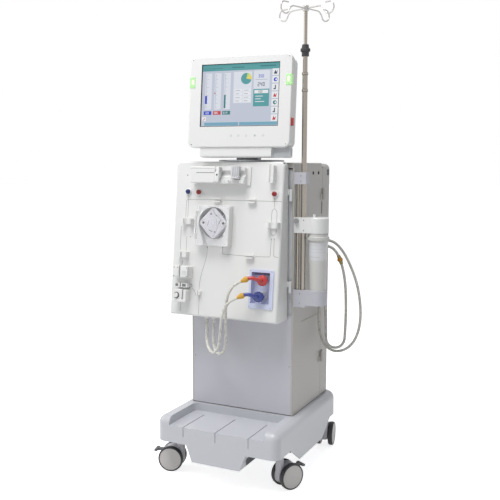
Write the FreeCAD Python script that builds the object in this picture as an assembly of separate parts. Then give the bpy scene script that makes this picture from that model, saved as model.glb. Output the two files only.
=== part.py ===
import FreeCAD, Part
import math
import os

# Dialysis machine, in millimetres. X runs to the right, Y to the back and Z up.
# The model is laid out about the middle of the cabinet's front plane at floor level,
# and every piece is moved at the end so that the origin lies under the middle of the whole.

V = FreeCAD.Vector
X_AXIS = V(1, 0, 0)
Y_AXIS = V(0, 1, 0)
Z_AXIS = V(0, 0, 1)

# General clearances
RUN = 0.05          # radial clearance of a running fit
GAP = 0.3           # gap between moving pieces that pass each other
SEAT = 0.1          # gap round a fixed piece in its seat

# The cabinet's width and depth lead: base, frame, doors, pole and brackets follow them.
CAB_HALF = 220.0
CAB_D = 295.0
REAR_GAP = 2.0
REAR_DEPTH = 91.0
REAR_FRONT = CAB_D + REAR_GAP
REAR_BACK = REAR_FRONT + REAR_DEPTH

# Base cover
BASE_MARGIN = 35.0
BASE_REAR_MARGIN = 34.0
BASE_W = 2 * (CAB_HALF + BASE_MARGIN)
BASE_FRONT = -215.0
BASE_REAR = REAR_BACK + BASE_REAR_MARGIN
BASE_TOP = 249.0
BASE_WALL = 5.0
BASE_SKIN = 6.0
BASE_SHOULDER_R = 30.0
BASE_FRONT_R = 30.0
BASE_REAR_R = 55.0
ARCH_Z = 151.0
SKIRT_Z = 88.0
SKIRT_FRONT_Y = -3.0
SKIRT_REAR_Y = BASE_REAR - 184.0
SKIRT_SLOPE = 91.0
APRON_HALF = 125.0
APRON_FLOOR_HALF = 100.0
APRON_DEPTH = 60.0
TRAY_RIM = 55.0
TRAY_HALF = BASE_W / 2 - TRAY_RIM
TRAY_BACK = -12.0
TRAY_Z = 218.0
TRAY_R = 18.0
GROOVE_W = 5.0
GROOVE_D = 3.0
GROOVE_PITCH = 137.0
GROOVE_BACK = -50.0
GROOVE_DROP = 38.0
SERVICE_FRONT = 20.0
SERVICE_REAR = BASE_REAR - 42.0

# Chassis
RAIL_W = 50.0
RAIL_H = 40.0
TUBE_WALL = 3.0
POST_INSET = 2.0
RAIL_FRONT = BASE_FRONT + 35.0
RAIL_REAR = BASE_REAR - 26.0
RAIL_Z = 172.0
CROSS_W = 40.0
DECK_T = 3.0
POST = 28.0
POST_FRONT = 8.0
POST_REAR_INSET = 5.0
POST_REAR = CAB_D - POST_REAR_INSET - POST
CROSS_Y = (RAIL_FRONT + 30.0, 0.0, POST_REAR + 38.0)
POST_TOP = 1190.0
BEAM = 24.0
BULKHEAD_T = 2.0
BULKHEAD_BOTTOM = 600.0
SHELF_Z = 560.0

# Casters
CASTER_INSET = 41.0
CASTER_X = BASE_W / 2 - CASTER_INSET
CASTER_FRONT_Y = BASE_FRONT + 112.0
CASTER_REAR_Y = BASE_REAR - 47.0
WHEEL_R = 50.0
WHEEL_W = 20.0
WHEEL_IN = 17.0
TRAIL = 35.0
AXLE_R = 5.0
HOOD_HALF = 15.0
HOOD_R = 48.0
HOOD_HUB_R = 16.0
HOOD_TOP = 112.0
STEM_R = 10.0
STEM_TOP = 205.0
COLLAR_R = 15.0
BUSH_R = 17.0
BUSH_BOTTOM = 162.0
PEDAL_HALF = 8.5
PEDAL_TAB_HALF = 19.0
PEDAL_PIN_R = 3.0
PEDAL_KNUCKLE_R = 7.0
PEDAL_ARM = 32.0
PEDAL_ARM_HALF = 4.0
PEDAL_TAB = (30.0, 44.0)
PEDAL_BACK = 27.0
PEDAL_UP = 27.0
HOOD_LIFT = 14.0
HOOD_SKIN = 1.0
CASTER_HEADINGS = {"fl": 195.0, "fr": 60.0, "rl": 84.0, "rr": 100.0}

# Cabinet
CAB_TOP = 1215.0
PANEL_T = 4.0
SERVICE_HALF = CAB_HALF - PANEL_T - POST_INSET - POST
TOP_COVER_H = 20.0
COVER_CORNER_R = 10.0
COVER_EDGE_R = 5.0
PANEL_LIP = 8.0
PANEL_REAR_LIP = 15.0
LOWER_TOP = 640.0
LOWER_RETURN = 24.0
LOWER_SCREW_Z = 442.0
LOWER_SCREW_X = CAB_HALF - 15.0
LOWER_SCREW_R = 3.0
LEDGE_Z = 605.0
LEDGE_Y0 = 79.0
LEDGE_Y1 = CAB_D - 41.0
LEDGE_H = 4.0
SOCKET_R = 7.0
SOCKET_DEPTH = 3.0
SOCKET_Z = 1176.0
SOCKET_Y = (CAB_D - 105.0, CAB_D - 46.0)
FINGER_Z0 = 1010.0
FINGER_Z1 = 1060.0
FINGER_DEPTH = 18.0
FINGER_IN = 3.0
FINGER_R = 8.0

# Rear door
REAR_BOTTOM = 252.0
REAR_TOP = 1213.0
REAR_WALL = 4.0
REAR_EDGE_R = 15.0
REAR_TOP_R = 22.0
HINGE_R = 6.0
HINGE_PIN_R = 3.0
REAR_HINGE_X = CAB_HALF + HINGE_R
REAR_HINGE_Y = CAB_D + REAR_GAP / 2
REAR_HINGE_Z = (420.0, 1090.0)
HINGE_H = 22.0
VENT_Y = REAR_FRONT + 55.0
VENT_Z = 1168.0
VENT_CELL = 8.0
VENT_PITCH = 11.0

# Front door, a wedge that leans back
DOOR_OVERHANG = 40.0
DOOR_INSET = 23.0
DOOR_LEFT = -CAB_HALF - DOOR_OVERHANG
DOOR_RIGHT = CAB_HALF - DOOR_INSET
DOOR_BOTTOM = 625.0
DOOR_TOP = 1218.5
DOOR_BOTTOM_Y = -105.7
DOOR_TOP_Y = -40.9
DOOR_BACK_Y = -5.0
DOOR_WALL = 4.0
DOOR_CORNER_R = 20.0
DOOR_EDGE_R = 8.0
DOOR_PLATE_T = 3.0
DOOR_BOSS = 14.0
DOOR_TILT = math.degrees(math.atan2(DOOR_TOP_Y - DOOR_BOTTOM_Y, DOOR_TOP - DOOR_BOTTOM))
DOOR_HINGE_X = DOOR_RIGHT + 11.0
DOOR_HINGE_Y = -6.0
DOOR_HINGE_Z = (750.0, 1095.0)
GROMMET_R = 9.0
GROMMET_H = 13.0
HOLE_OUT = 5.0
PUMP_HOLE_IN = 26.0
BRIDGE_HOLE_IN = 60.0

# Blood pump, on the door face: x, height along the slope, depth out of the face
PUMP_X0 = -142.0
PUMP_X1 = -4.0
PUMP_S0 = 275.0
PUMP_S1 = 428.0
PUMP_OUT = 30.0
PUMP_IN = 20.0
PUMP_FLOOR = 8.0
ROTOR_X = -73.0
ROTOR_S = 362.0
RACE_R = 60.0
RACE_MOUTH_HALF = 35.0
RACE_LIP = 8.0
MOUTH_STEP = 14.0
MOTOR_R = 26.0
MOTOR_L = 24.0
LUG_START = 24.0
LUG_END = 44.0
ROTOR_TIP = 57.0
ROTOR_FLAT = 14.0
ROTOR_LOW = -4.0
ROTOR_PLATE = 5.0
ROTOR_TOP = 24.0
ROTOR_HUB_R = 17.0
ROTOR_CAP = 30.0
ROTOR_CAP_H = 4.0
SHAFT_R = 6.0
SHAFT_DEPTH = 30.0
ROLLER_R = 8.5
ROLLER_ORBIT = 41.0
ROLLER_PIN_R = 3.0
GUIDE_R = 4.0
GUIDE_ORBIT = 46.0
COVER_T = 3.0
COVER_INSET = 1.0
COVER_HINGE_R = 4.0
COVER_HINGE_OUT = 5.0
COVER_PIN_R = 2.0

# Syringe pump
SYR_X0 = -174.0
SYR_X1 = 50.0
SYR_S0 = 512.0
SYR_S1 = 574.0
SYR_PLATE = 6.0
SYR_PLATE_MARGIN = 5.0
SYR_OUT = 45.0
SYR_BOX_X1 = -66.0
SYR_CRADLE_OUT = 28.0
SYR_BARREL_R = 13.0
SYR_BARREL_S = 548.0
SYR_ROD_R = 5.0
SYR_ROD_S = 564.0
SYR_ROD_OUT = 36.0
SYR_PUSHER_X0 = -60.0
SYR_PUSHER_X1 = -46.0
SYR_PUSHER_UP = 18.0
SYR_CLAMP_X0 = 2.0
SYR_CLAMP_X1 = 34.0
SYR_CLAMP_OUT = 46.0
SYR_CLAMP_POST_R = 4.0

# Pressure ports
PORT_SITES = {"blue": [(DOOR_LEFT + 60.0, 480.0)],
              "red": [(DOOR_LEFT + 107.0, 479.0), (DOOR_RIGHT - 32.0, 478.0)]}
PORT_RING_R = 13.0
PORT_RING_H = 4.0
PORT_R = 8.5
PORT_OUT = 15.0
PORT_BORE_R = 2.15
PORT_BORE_DEPTH = 12.0

# Tubing clips and holders on the door face
CLIP_W = 34.0
CLIP_H = 16.0
CLIP_OUT = 14.0
CLIP_SITES = [(-71.0, 450.0), (75.0, 450.0), (76.0, 243.0)]
CLIP_GROOVE_R = 3.6
SMALL_CLIP = (-131.0, 93.0)
POST_X = (DOOR_RIGHT - 54.0, DOOR_RIGHT - 31.0)
POST_S = (517.0, 584.0)
POST_OUT = 25.0
POST_GROOVE_R = 6.0

# Left-hand column of blocks on the door face
FINGER_X = DOOR_LEFT + 53.0
FINGER_S = 237.0
GUIDE_APART = 13.0
GUIDE_HALF_W = 9.0
GUIDE_HALF_H = 12.0
GUIDE_OUT = 26.0
GUIDE_WEB = 16.0
DETECTOR_X = (DOOR_LEFT + 25.0, DOOR_LEFT + 95.0)
DETECTOR_S = (146.0, 193.0)
DETECTOR_OUT = 35.0
SENSOR_S = (110.0, 126.0)
SENSOR_OUT = 24.0
LINE_X = DOOR_LEFT + 56.0
LINE_SLOT = 6.6
CLAMP_X = (DOOR_LEFT + 30.0, DOOR_LEFT + 88.0)
CLAMP_S = (56.0, 102.0)
CLAMP_OUT = 34.0
CLAMP_LINE_SHIFT = 14.0
CLAMP_SLOT_DEPTH = 18.0
PLUNGER_R = 9.0
PLUNGER_OUT = 7.0
PLUNGER_DEPTH = 18.0
PLUNGER_TRAVEL = 4.0
PLUNGER_X = CLAMP_X[0] + 17.0
PLUNGER_S = 79.0
CHAMBER_LEFT = (DOOR_LEFT + 67.0, 365.0)
CHAMBER_RIGHT = (DOOR_RIGHT - 29.0, 362.0)
CHAMBER_W = 50.0
CHAMBER_H = 22.0
CHAMBER_OUT = 30.0
CHAMBER_CORNER_R = 9.0
CHAMBER_BORE_R = 12.5
CHAMBER_BORE_OUT = 20.0
CHAMBER_THROAT = 18.0

# Rinse bridge and couplings
BRIDGE_X = (DOOR_RIGHT - 118.0, DOOR_RIGHT - 19.0)
BRIDGE_S = (52.0, 197.0)
BRIDGE_IN_X = (BRIDGE_X[0] + 9.0, BRIDGE_X[1] - 15.0)
BRIDGE_IN_S = (BRIDGE_S[0] + 19.0, BRIDGE_S[1] - 10.0)
BRIDGE_FLANGE = 4.0
BRIDGE_DEPTH = 26.0
BRIDGE_WALL = 3.0
STUB_R = 8.0
STUB_TOP = -4.0
COUPLING_R = 13.0
COUPLING_GRIP_R = 20.0
COUPLING_GRIP = 14.0
COUPLING_TOP = 26.0
COUPLING_FLUTES = 12
COUPLING_FLUTE_R = 2.2
ELBOW_R = 7.0
ADAPTER_R = 11.0
ADAPTER_NOSE_R = 7.5
RED_SITE = (BRIDGE_X[0] + 61.0, BRIDGE_S[0] + 106.0)
BLUE_SITE = (BRIDGE_X[0] + 48.0, BRIDGE_S[0] + 45.0)
ELBOW_RISE = 18.0
ELBOW_REACH = V(-28, -30, 12)
ADAPTER_START = V(-42, -34, 5)
ADAPTER_LENGTH = 24.0
ADAPTER_COLLAR = 0.45

# Dialysate hoses: points in the cabinet's frame after the first two, which follow the adapter
DIALYSATE_R = 5.5
DIALYSATE_RED = [(31, -163, 744), (17, -157, 707), (9, -148, 664), (5, -138, 618), (1, -127, 573),
                 (-7, -116, 528), (-24, -105, 495), (-51, -91, 482), (-77, -77, 496), (-88, -66, 530),
                 (-88, -62, 572)]
DIALYSATE_BLUE = [(18, -169, 688), (3, -164, 652), (-7, -156, 612), (-15, -146, 570), (-26, -133, 531),
                  (-45, -119, 501), (-71, -104, 489), (-96, -89, 500), (-112, -74, 529), (-118, -62, 568)]
DIALYSATE_LEAD = 26.0
GROMMET_RED = (-88.0, -62.0)
GROMMET_BLUE = (-118.0, -62.0)

# Monitor: its own frame has the screen centre as origin
SCREEN_Z = 1465.5
SWIVEL_Y = 90.0
SCREEN_OUT = 134.6
REST_YAW = 5.2
REST_LEAN = 5.7
BEZEL_HALF = 203.0
BEZEL_LOW = -195.0
BEZEL_HIGH = 146.0
BEZEL_R = 22.0
BEZEL_D = 26.0
BEZEL_FACE = 5.0
BEZEL_WALL = 3.0
SCREEN_HALF_W = 156.0
SCREEN_HALF_H = 117.3
SCREEN_MARGIN = 5.0
SCREEN_T = 8.0
LIGHT_IN = BEZEL_HALF - 22.0
LIGHT_LOW = 30.0
LIGHT_HIGH = 71.0
LIGHT_PROUD = 1.5
BUTTON_LOW = -116.0
BUTTON_HIGH = -87.0
BUTTON_Y = (8.0, 20.0)
BUTTON_PROUD = 8.0
BEZEL_SCREW_R = 2.5
BEZEL_SCREWS = ((11.0 - BEZEL_HALF, BEZEL_HIGH - 11.0), (BEZEL_HALF - 11.0, BEZEL_HIGH - 11.0),
                (BEZEL_HALF - 15.0, BEZEL_LOW + 11.0), (15.0 - BEZEL_HALF, BEZEL_LOW + 11.0))
HOUSING_STEP = 4.0
HOUSING_HALF = BEZEL_HALF - HOUSING_STEP
HOUSING_LOW = BEZEL_LOW + HOUSING_STEP
HOUSING_HIGH = BEZEL_HIGH - HOUSING_STEP
HOUSING_BACK = 100.0
HOUSING_WALL = 3.0
HOUSING_R = 28.0
HUMP_HALF = 95.0
HUMP_BACK = 150.0
HUMP_LOW = -200.0
HUMP_HIGH = -40.0
CHIN_LEFT = -153.0
CHIN_RIGHT = BEZEL_HALF
CHIN_STEP_X = 132.0
CHIN_STEP = 14.0
CHIN_LOW = -231.0
CHIN_FRONT = 5.0
CHIN_BACK = 40.0
CHIN_R = 6.0
YOKE_HALF = 44.0
YOKE_R = 18.0
TILT_OUT = 30.0
TILT_Z = 1312.0
TILT_PIN_R = 6.0
CHEEK = 6.0
TABLE_R = 128.0
TABLE_T = 6.0
TABLE_Z = 1219.5
RACE_RING_R = 84.0
SPIGOT_R = 20.0
SPIGOT_H = 17.0
SPIGOT_WALL = 8.0

# Pole, brackets and filter canister at the right-hand side
POLE_X = CAB_HALF + 32.0
POLE_Y = 12.0
POLE_R = 9.5
POLE_UPPER_R = 8.5
POLE_BOTTOM = 690.0
POLE_FLOOR = 6.0
POLE_RING_Z = (1476.0, 1536.0)
POLE_RING_R = 11.5
POLE_RING_H = 8.0
POLE_TOP = 1606.0
INNER_R = 6.5
INNER_BOTTOM = 1380.0
INNER_TOP = 1772.0
NUT_BOTTOM = 1598.0
NUT_TOP = 1638.0
NUT_R = 13.5
NUT_FLANGE_R = 18.0
NUT_FLANGE_UP = 17.0
NUT_FLANGE_T = 11.0
NUT_EDGE_R = 2.0
BUSH_TOP_R = 10.3
BUSH_TOP_Z = (1600.0, 1635.5)
RAIL_TUBE_X = CAB_HALF + 10.0
RAIL_TUBE_R = 6.0
RAIL_TUBE_BOTTOM = 700.0
RAIL_TUBE_DOWN = 8.0
BRACKET_LEFT = CAB_HALF
BRACKET_RIGHT = CAB_HALF + 48.0
BRACKET_FRONT = -4.0
BRACKET_BACK = 28.0
BRACKET_1 = (1136.0, 1180.0)
BRACKET_2 = (956.0, 1014.0)
BRACKET_3 = (677.0, 741.0)
BRACKET_EDGE_R = 4.0
CANISTER_X = CAB_HALF + 84.0
CANISTER_Y = 32.0
CUP_R = 39.0
CUP_WALL = 4.0
CUP_ROOF = 8.0
LOW_CUP_R = 36.0
LOW_CUP_DEPTH = 30.0
CANISTER_TOP_R = 38.0
CANISTER_LOW_R = 30.5
CAP_R = 40.0
KNOB_X = RAIL_TUBE_X + 1.0
KNOB_Z = 1001.0
KNOB_R = 9.0
KNOB_L = 11.0
KNOB_SCREW_R = 4.0
KNOB_FLUTES = 6
KNOB_FLUTE_R = 2.0
HOOK_ANGLES = (-20.0, 70.0, 160.0, 250.0)
HOOK_WIRE_R = 2.5
HOOK_Z = 1767.0
HOOK_PATH = [(6, 0), (80, 0), (98, -36), (132, -24), (127, 9), (92, 9)]
HUB_R = 11.0
HUB_H = 20.0

# Water and drain hoses at the right-hand side
HOSE_R = 5.5
NIPPLE_R = 8.0
NIPPLE_L = 14.0
NIPPLE_FLANGE = 4.0
WATER_PORT = (CAB_D - 39.0, 885.0)
DRAIN_PORT = (CAB_D - 16.0, 906.0)
PARK_X = (CAB_HALF, CAB_HALF + 32.0)
PARK_Y = (CAB_D - 53.0, CAB_D - 12.0)
PARK_Z = (838.0, 852.0)
WATER_PARK = (CAB_HALF + 21.0, CAB_D - 43.0)
DRAIN_PARK = (CAB_HALF + 14.0, CAB_D - 22.0)
WATER_ROUTE = [(262, 256, 885), (286, 257, 874), (305, 259, 850), (320, 261, 812), (331, 263, 764),
               (337, 264, 712), (339, 264, 660), (340, 263, 610), (339, 262, 564), (338, 261, 528),
               (336, 260, 497), (318, 249, 475), (291, 235, 475), (272, 224, 497), (271, 223, 531),
               (270, 224, 571), (268, 226, 616), (265, 229, 664), (258, 236, 710), (247, 246, 750),
               (241, 252, 786)]
DRAIN_ROUTE = [(264, 279, 906), (296, 280, 888), (324, 281, 854), (348, 281, 810), (370, 281, 760),
               (386, 280, 706), (395, 279, 648), (397, 277, 590), (389, 273, 536), (368, 267, 490),
               (334, 259, 462), (294, 250, 456), (261, 241, 478), (243, 234, 520), (237, 230, 568),
               (236, 230, 618), (236, 235, 668), (235, 246, 714), (234, 262, 752), (234, 273, 784)]
COUPLING_RING_R = 9.0
COUPLING_RING_L = 12.0

# Units inside the cabinet
MANIFOLD = (-150.0, 150.0, 640.0, 860.0)
MANIFOLD_D = 46.0
VESSEL_R = 45.0
VESSEL_SITE = (-120.0, 150.0)
VESSEL_H = 270.0
FLOW_PUMP_R = 28.0
FLOW_PUMP_L = 90.0
FLOW_PUMP_SITES = [(-40.0, 720.0), (40.0, 720.0), (100.0, 790.0)]
SUPPLY = (-120.0, 120.0, 60.0, 230.0)
SUPPLY_H = 190.0
SUPPLY_WALL = 2.0
SUPPLY_SLOTS = 10
SUPPLY_SLOT_PITCH = 20.0
SUPPLY_SLOT_W = 6.0
SUPPLY_SLOT_LOW = 40.0


# Shape helpers

def block(x0, x1, y0, y1, z0, z1):
    return Part.makeBox(x1 - x0, y1 - y0, z1 - z0, V(x0, y0, z0))


def rod(base, axis, radius, length):
    return Part.makeCylinder(radius, length, V(*base), axis)


def sleeve(base, axis, outer, inner, length):
    return rod(base, axis, outer, length).cut(rod(base, axis, inner, length))


def join(*shapes):
    whole = shapes[0].multiFuse(list(shapes[1:]))
    return whole.removeSplitter()


def cut(shape, *tools):
    return shape.cut(list(tools))


def prism(points, axis, start, end):
    """Polygon extruded along one axis; points hold the other two coordinates in order."""
    corners = []
    for a, b in points:
        if axis == "x":
            corners.append(V(start, a, b))
        elif axis == "y":
            corners.append(V(a, start, b))
        else:
            corners.append(V(a, b, start))
    direction = {"x": X_AXIS, "y": Y_AXIS, "z": Z_AXIS}[axis]
    face = Part.Face(Part.makePolygon(corners + corners[:1]))
    return face.extrude(direction * (end - start))


def along(edge, axis):
    """True when a straight edge runs along the given axis."""
    if not isinstance(edge.Curve, (Part.Line, Part.LineSegment)):
        return False
    direction = edge.tangentAt(edge.FirstParameter)
    return abs(abs(direction.dot(axis)) - 1) < 1e-6


def round_edges(shape, radius, axis, keep=lambda point: True):
    edges = [e for e in shape.Edges if along(e, axis) and keep(e.CenterOfMass)]
    return shape.makeFillet(radius, edges)


def round_rim(shape, radius, keep):
    return shape.makeFillet(radius, [e for e in shape.Edges if keep(e)])


def lies_at(edge, axis, value):
    """True when the whole edge lies in the plane where the coordinate has this value."""
    box = edge.BoundBox
    low, high = {"x": (box.XMin, box.XMax), "y": (box.YMin, box.YMax), "z": (box.ZMin, box.ZMax)}[axis]
    return abs(low - value) < 0.01 and abs(high - value) < 0.01


def rounded_plate(x0, x1, z0, z1, y0, y1, radius):
    """Upright plate with four rounded corners, seen from the front."""
    return round_edges(block(x0, x1, y0, y1, z0, z1), radius, Y_AXIS)


def revolve(profile, centre):
    """Solid of revolution about a vertical axis; the profile holds (radius, height) pairs."""
    points = [V(centre[0] + r, centre[1], z) for r, z in profile]
    face = Part.Face(Part.makePolygon(points + points[:1]))
    return face.revolve(V(centre[0], centre[1], 0), Z_AXIS, 360)


def route(points, report=None):
    """Straight runs joined by tangent arcs, as large as the two runs allow."""
    points = [V(*p) for p in points]
    edges = []
    radii = []
    start = points[0]
    for before, corner, after in zip(points, points[1:], points[2:]):
        incoming = (corner - before).normalize()
        outgoing = (after - corner).normalize()
        half_turn = incoming.getAngle(outgoing) / 2
        setback = 0.45 * min((corner - before).Length, (after - corner).Length)
        first = corner - incoming * setback
        last = corner + outgoing * setback
        radius = setback / math.tan(half_turn)
        towards = (outgoing - incoming).normalize()
        middle = corner + towards * (radius / math.cos(half_turn) - radius)
        edges.append(Part.LineSegment(start, first).toShape())
        edges.append(Part.Arc(first, middle, last).toShape())
        radii.append(radius)
        start = last
    edges.append(Part.LineSegment(start, points[-1]).toShape())
    wire = Part.Wire(edges)
    if report:
        print(f"{report}: length {wire.Length:.0f}, radii {[round(r) for r in radii]}")
    return wire


def tube(points, radius, report=None):
    path = route(points, report)
    start = V(*points[0])
    direction = (V(*points[1]) - start).normalize()
    ring = Part.Wire(Part.makeCircle(radius, start, direction))
    solid = path.makePipeShell([ring], True, False)
    if report:
        expected = math.pi * radius ** 2 * path.Length
        print(f"{report}: volume over section times length {solid.Volume / expected:.4f}")
    return solid


# Frames of the door, the monitor and the casters

DOOR_FRAME = FreeCAD.Placement(V(0, DOOR_BOTTOM_Y, DOOR_BOTTOM), FreeCAD.Rotation(X_AXIS, -DOOR_TILT))


def moved(shape, placement):
    placed = shape.copy()
    placed.Placement = placement.multiply(placed.Placement)
    return placed


def on_door(shape):
    """Door frame: X across, -Y out of the face, Z up the slope from the bottom edge."""
    return moved(shape, DOOR_FRAME)


def door_point(x, slope, out):
    return DOOR_FRAME.multVec(V(x, -out, slope))


def swivel_frame():
    spin = FreeCAD.Rotation(Z_AXIS, REST_YAW)
    return FreeCAD.Placement(V(0, SWIVEL_Y, 0), spin)


def monitor_frame():
    lean = FreeCAD.Rotation(X_AXIS, -REST_LEAN)
    return swivel_frame().multiply(FreeCAD.Placement(V(0, -SCREEN_OUT, SCREEN_Z), lean))


def on_monitor(shape):
    return moved(shape, monitor_frame())


def on_swivel(shape):
    return moved(shape, swivel_frame())


def tilt_axis_point():
    """Tilt axis in the monitor's own frame."""
    world = swivel_frame().multVec(V(0, -TILT_OUT, TILT_Z))
    return monitor_frame().inverse().multVec(world)


# Base cover

def base_form(inset, bottom):
    form = block(-BASE_W / 2 + inset, BASE_W / 2 - inset, BASE_FRONT + inset, BASE_REAR - inset,
                 bottom, BASE_TOP - (BASE_SKIN if inset else 0))
    form = round_edges(form, BASE_FRONT_R - inset, Z_AXIS, lambda p: p.y < 0)
    form = round_edges(form, BASE_REAR_R - inset, Z_AXIS, lambda p: p.y > 0)
    top = form.BoundBox.ZMax
    return round_rim(form, BASE_SHOULDER_R - inset - 1, lambda e: lies_at(e, "z", top))


def wheel_arches():
    low = SKIRT_Z - 10
    outside = BASE_W / 2 + 10
    tools = []
    for side in (-1, 1):
        front = [(side * outside, low), (side * (APRON_FLOOR_HALF - 4), low),
                 (side * APRON_FLOOR_HALF, SKIRT_Z), (side * APRON_HALF, ARCH_Z), (side * outside, ARCH_Z)]
        tools.append(prism(front, "y", BASE_FRONT - 10, BASE_FRONT + APRON_DEPTH))
        fore = [(BASE_FRONT - 10, low), (SKIRT_FRONT_Y, low), (SKIRT_FRONT_Y, SKIRT_Z),
                (SKIRT_FRONT_Y - SKIRT_SLOPE, ARCH_Z), (BASE_FRONT - 10, ARCH_Z)]
        aft = [(BASE_REAR + 10, low), (SKIRT_REAR_Y, low), (SKIRT_REAR_Y, SKIRT_Z),
               (SKIRT_REAR_Y + SKIRT_SLOPE, ARCH_Z), (BASE_REAR + 10, ARCH_Z)]
        near, far = sorted((side * (BASE_W / 2 - 90), side * outside))
        tools.append(prism(fore, "x", near, far))
        tools.append(prism(aft, "x", near, far))
    tools.append(block(-BASE_W, BASE_W, BASE_REAR - 90, BASE_REAR + 10, low, ARCH_Z))
    return tools


def front_trough():
    """Moulded pocket behind the dipped apron."""
    def outline(inset):
        return [(-APRON_HALF + inset, ARCH_Z + 4), (-APRON_HALF + inset, ARCH_Z),
                (-APRON_FLOOR_HALF + inset, SKIRT_Z + inset), (APRON_FLOOR_HALF - inset, SKIRT_Z + inset),
                (APRON_HALF - inset, ARCH_Z), (APRON_HALF - inset, ARCH_Z + 4)]
    back = BASE_FRONT + APRON_DEPTH
    outer = prism(outline(0), "y", BASE_FRONT + 1, back)
    inner = prism(outline(BASE_WALL), "y", BASE_FRONT + BASE_WALL, back - BASE_WALL)
    return outer.cut(inner)


def tray_grooves():
    tools = []
    for index in (-1, 0, 1):
        x = index * GROOVE_PITCH
        tools.append(block(x - GROOVE_W / 2, x + GROOVE_W / 2, BASE_FRONT - 1, GROOVE_BACK,
                           TRAY_Z - GROOVE_D, TRAY_Z + 1))
        tools.append(block(x - GROOVE_W / 2, x + GROOVE_W / 2, BASE_FRONT - 1, BASE_FRONT + GROOVE_D,
                           TRAY_Z - GROOVE_DROP, TRAY_Z + 1))
    return tools


def base_cover():
    outer = base_form(0, SKIRT_Z)
    shell = outer.cut(base_form(BASE_WALL, SKIRT_Z - 1))
    pan = block(-TRAY_HALF - BASE_SKIN, TRAY_HALF + BASE_SKIN, BASE_FRONT, TRAY_BACK + BASE_SKIN,
                TRAY_Z - BASE_SKIN, BASE_TOP)
    shell = join(shell, pan.common(outer))
    tray = round_edges(block(-TRAY_HALF, TRAY_HALF, BASE_FRONT - 40, TRAY_BACK, TRAY_Z, BASE_TOP + 5),
                       TRAY_R, Z_AXIS, lambda p: p.y > BASE_FRONT)
    service = block(-SERVICE_HALF, SERVICE_HALF, SERVICE_FRONT, SERVICE_REAR, TRAY_Z, BASE_TOP + 5)
    posts = [block(x - 1, x + POST + 1, y - 1, y + POST + 1, TRAY_Z, BASE_TOP + 5)
             for x, y in post_corners()]
    shell = cut(shell, tray, service, *posts)
    shell = cut(shell, *wheel_arches())
    shell = join(shell, front_trough())
    return cut(shell, *tray_grooves())


# Chassis

def post_corners():
    left = -CAB_HALF + PANEL_T + POST_INSET
    right = CAB_HALF - PANEL_T - POST_INSET - POST
    return [(x, y) for x in (left, right) for y in (POST_FRONT, POST_REAR)]


def caster_sites():
    return {"fl": (-CASTER_X, CASTER_FRONT_Y), "fr": (CASTER_X, CASTER_FRONT_Y),
            "rl": (-CASTER_X, CASTER_REAR_Y), "rr": (CASTER_X, CASTER_REAR_Y)}


def box_tube(x0, x1, y0, y1, z0, z1, axis):
    """Rectangular tube that is open at both ends of its axis."""
    outer = block(x0, x1, y0, y1, z0, z1)
    in_x, in_y, in_z = [0 if axis == name else TUBE_WALL for name in "xyz"]
    return outer.cut(block(x0 + in_x, x1 - in_x, y0 + in_y, y1 - in_y, z0 + in_z, z1 - in_z))


def door_knuckle_heights():
    """Lower half of each hinge on the cabinet, upper half on the door."""
    return [(z - HINGE_H, z + GAP) for z in DOOR_HINGE_Z]


def panel_edge():
    """Half width that a piece may have between the lips of the side panels."""
    return CAB_HALF - PANEL_LIP - 2 * SEAT


def chassis_frame():
    rail_top = RAIL_Z + RAIL_H
    rail_in = CASTER_X - RAIL_W / 2
    pieces = []
    for side in (-1, 1):
        near, far = sorted((side * rail_in, side * (rail_in + RAIL_W)))
        pieces.append(box_tube(near, far, RAIL_FRONT, RAIL_REAR, RAIL_Z, rail_top, "y"))
    for y in CROSS_Y:
        pieces.append(box_tube(-rail_in, rail_in, y, y + CROSS_W, RAIL_Z, rail_top, "x"))
    pieces.append(block(-SERVICE_HALF + 2, SERVICE_HALF - 2, CROSS_Y[1], CROSS_Y[2] + CROSS_W,
                        rail_top, rail_top + DECK_T))
    for x, y in post_corners():
        pieces.append(box_tube(x, x + POST, y, y + POST, rail_top, POST_TOP, "z"))
    left, right = post_corners()[0][0], post_corners()[-1][0]
    for y in (POST_FRONT, POST_REAR):
        pieces.append(block(left, right + POST, y, y + BEAM, POST_TOP - BEAM, POST_TOP))
    for x in (left, right):
        pieces.append(block(x, x + POST, POST_FRONT, POST_REAR + POST, POST_TOP - BEAM, POST_TOP))
    pieces.append(block(left, right + POST, POST_FRONT, POST_FRONT + BULKHEAD_T, BULKHEAD_BOTTOM, POST_TOP))
    pieces.append(block(left, right + POST, POST_FRONT, POST_REAR + POST, SHELF_Z - DECK_T, SHELF_Z))
    for low, high in door_knuckle_heights():
        pieces.append(block(DOOR_HINGE_X - HINGE_PIN_R - 1, panel_edge(), DOOR_HINGE_Y, POST_FRONT + 1,
                            low, high - GAP))
        pieces.append(rod((DOOR_HINGE_X, DOOR_HINGE_Y, low), Z_AXIS, HINGE_R, high - GAP - low))
        pieces.append(rod((DOOR_HINGE_X, DOOR_HINGE_Y, low), Z_AXIS, HINGE_PIN_R, 2 * HINGE_H - 1))
    for x, y in caster_sites().values():
        pieces.append(rod((x, y, BUSH_BOTTOM), Z_AXIS, BUSH_R, rail_top - BUSH_BOTTOM))
    frame = join(*pieces)
    bores = [rod((x, y, BUSH_BOTTOM - 1), Z_AXIS, STEM_R + RUN, rail_top - BUSH_BOTTOM + 2)
             for x, y in caster_sites().values()]
    return cut(frame, *bores)


# Casters

def caster_placement(corner):
    x, y = caster_sites()[corner]
    turn = FreeCAD.Rotation(Z_AXIS, CASTER_HEADINGS[corner] + 90)
    return FreeCAD.Placement(V(x, y, 0), turn)


def pedal_pivot():
    return (-TRAIL - PEDAL_BACK, WHEEL_R + PEDAL_UP)


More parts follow.
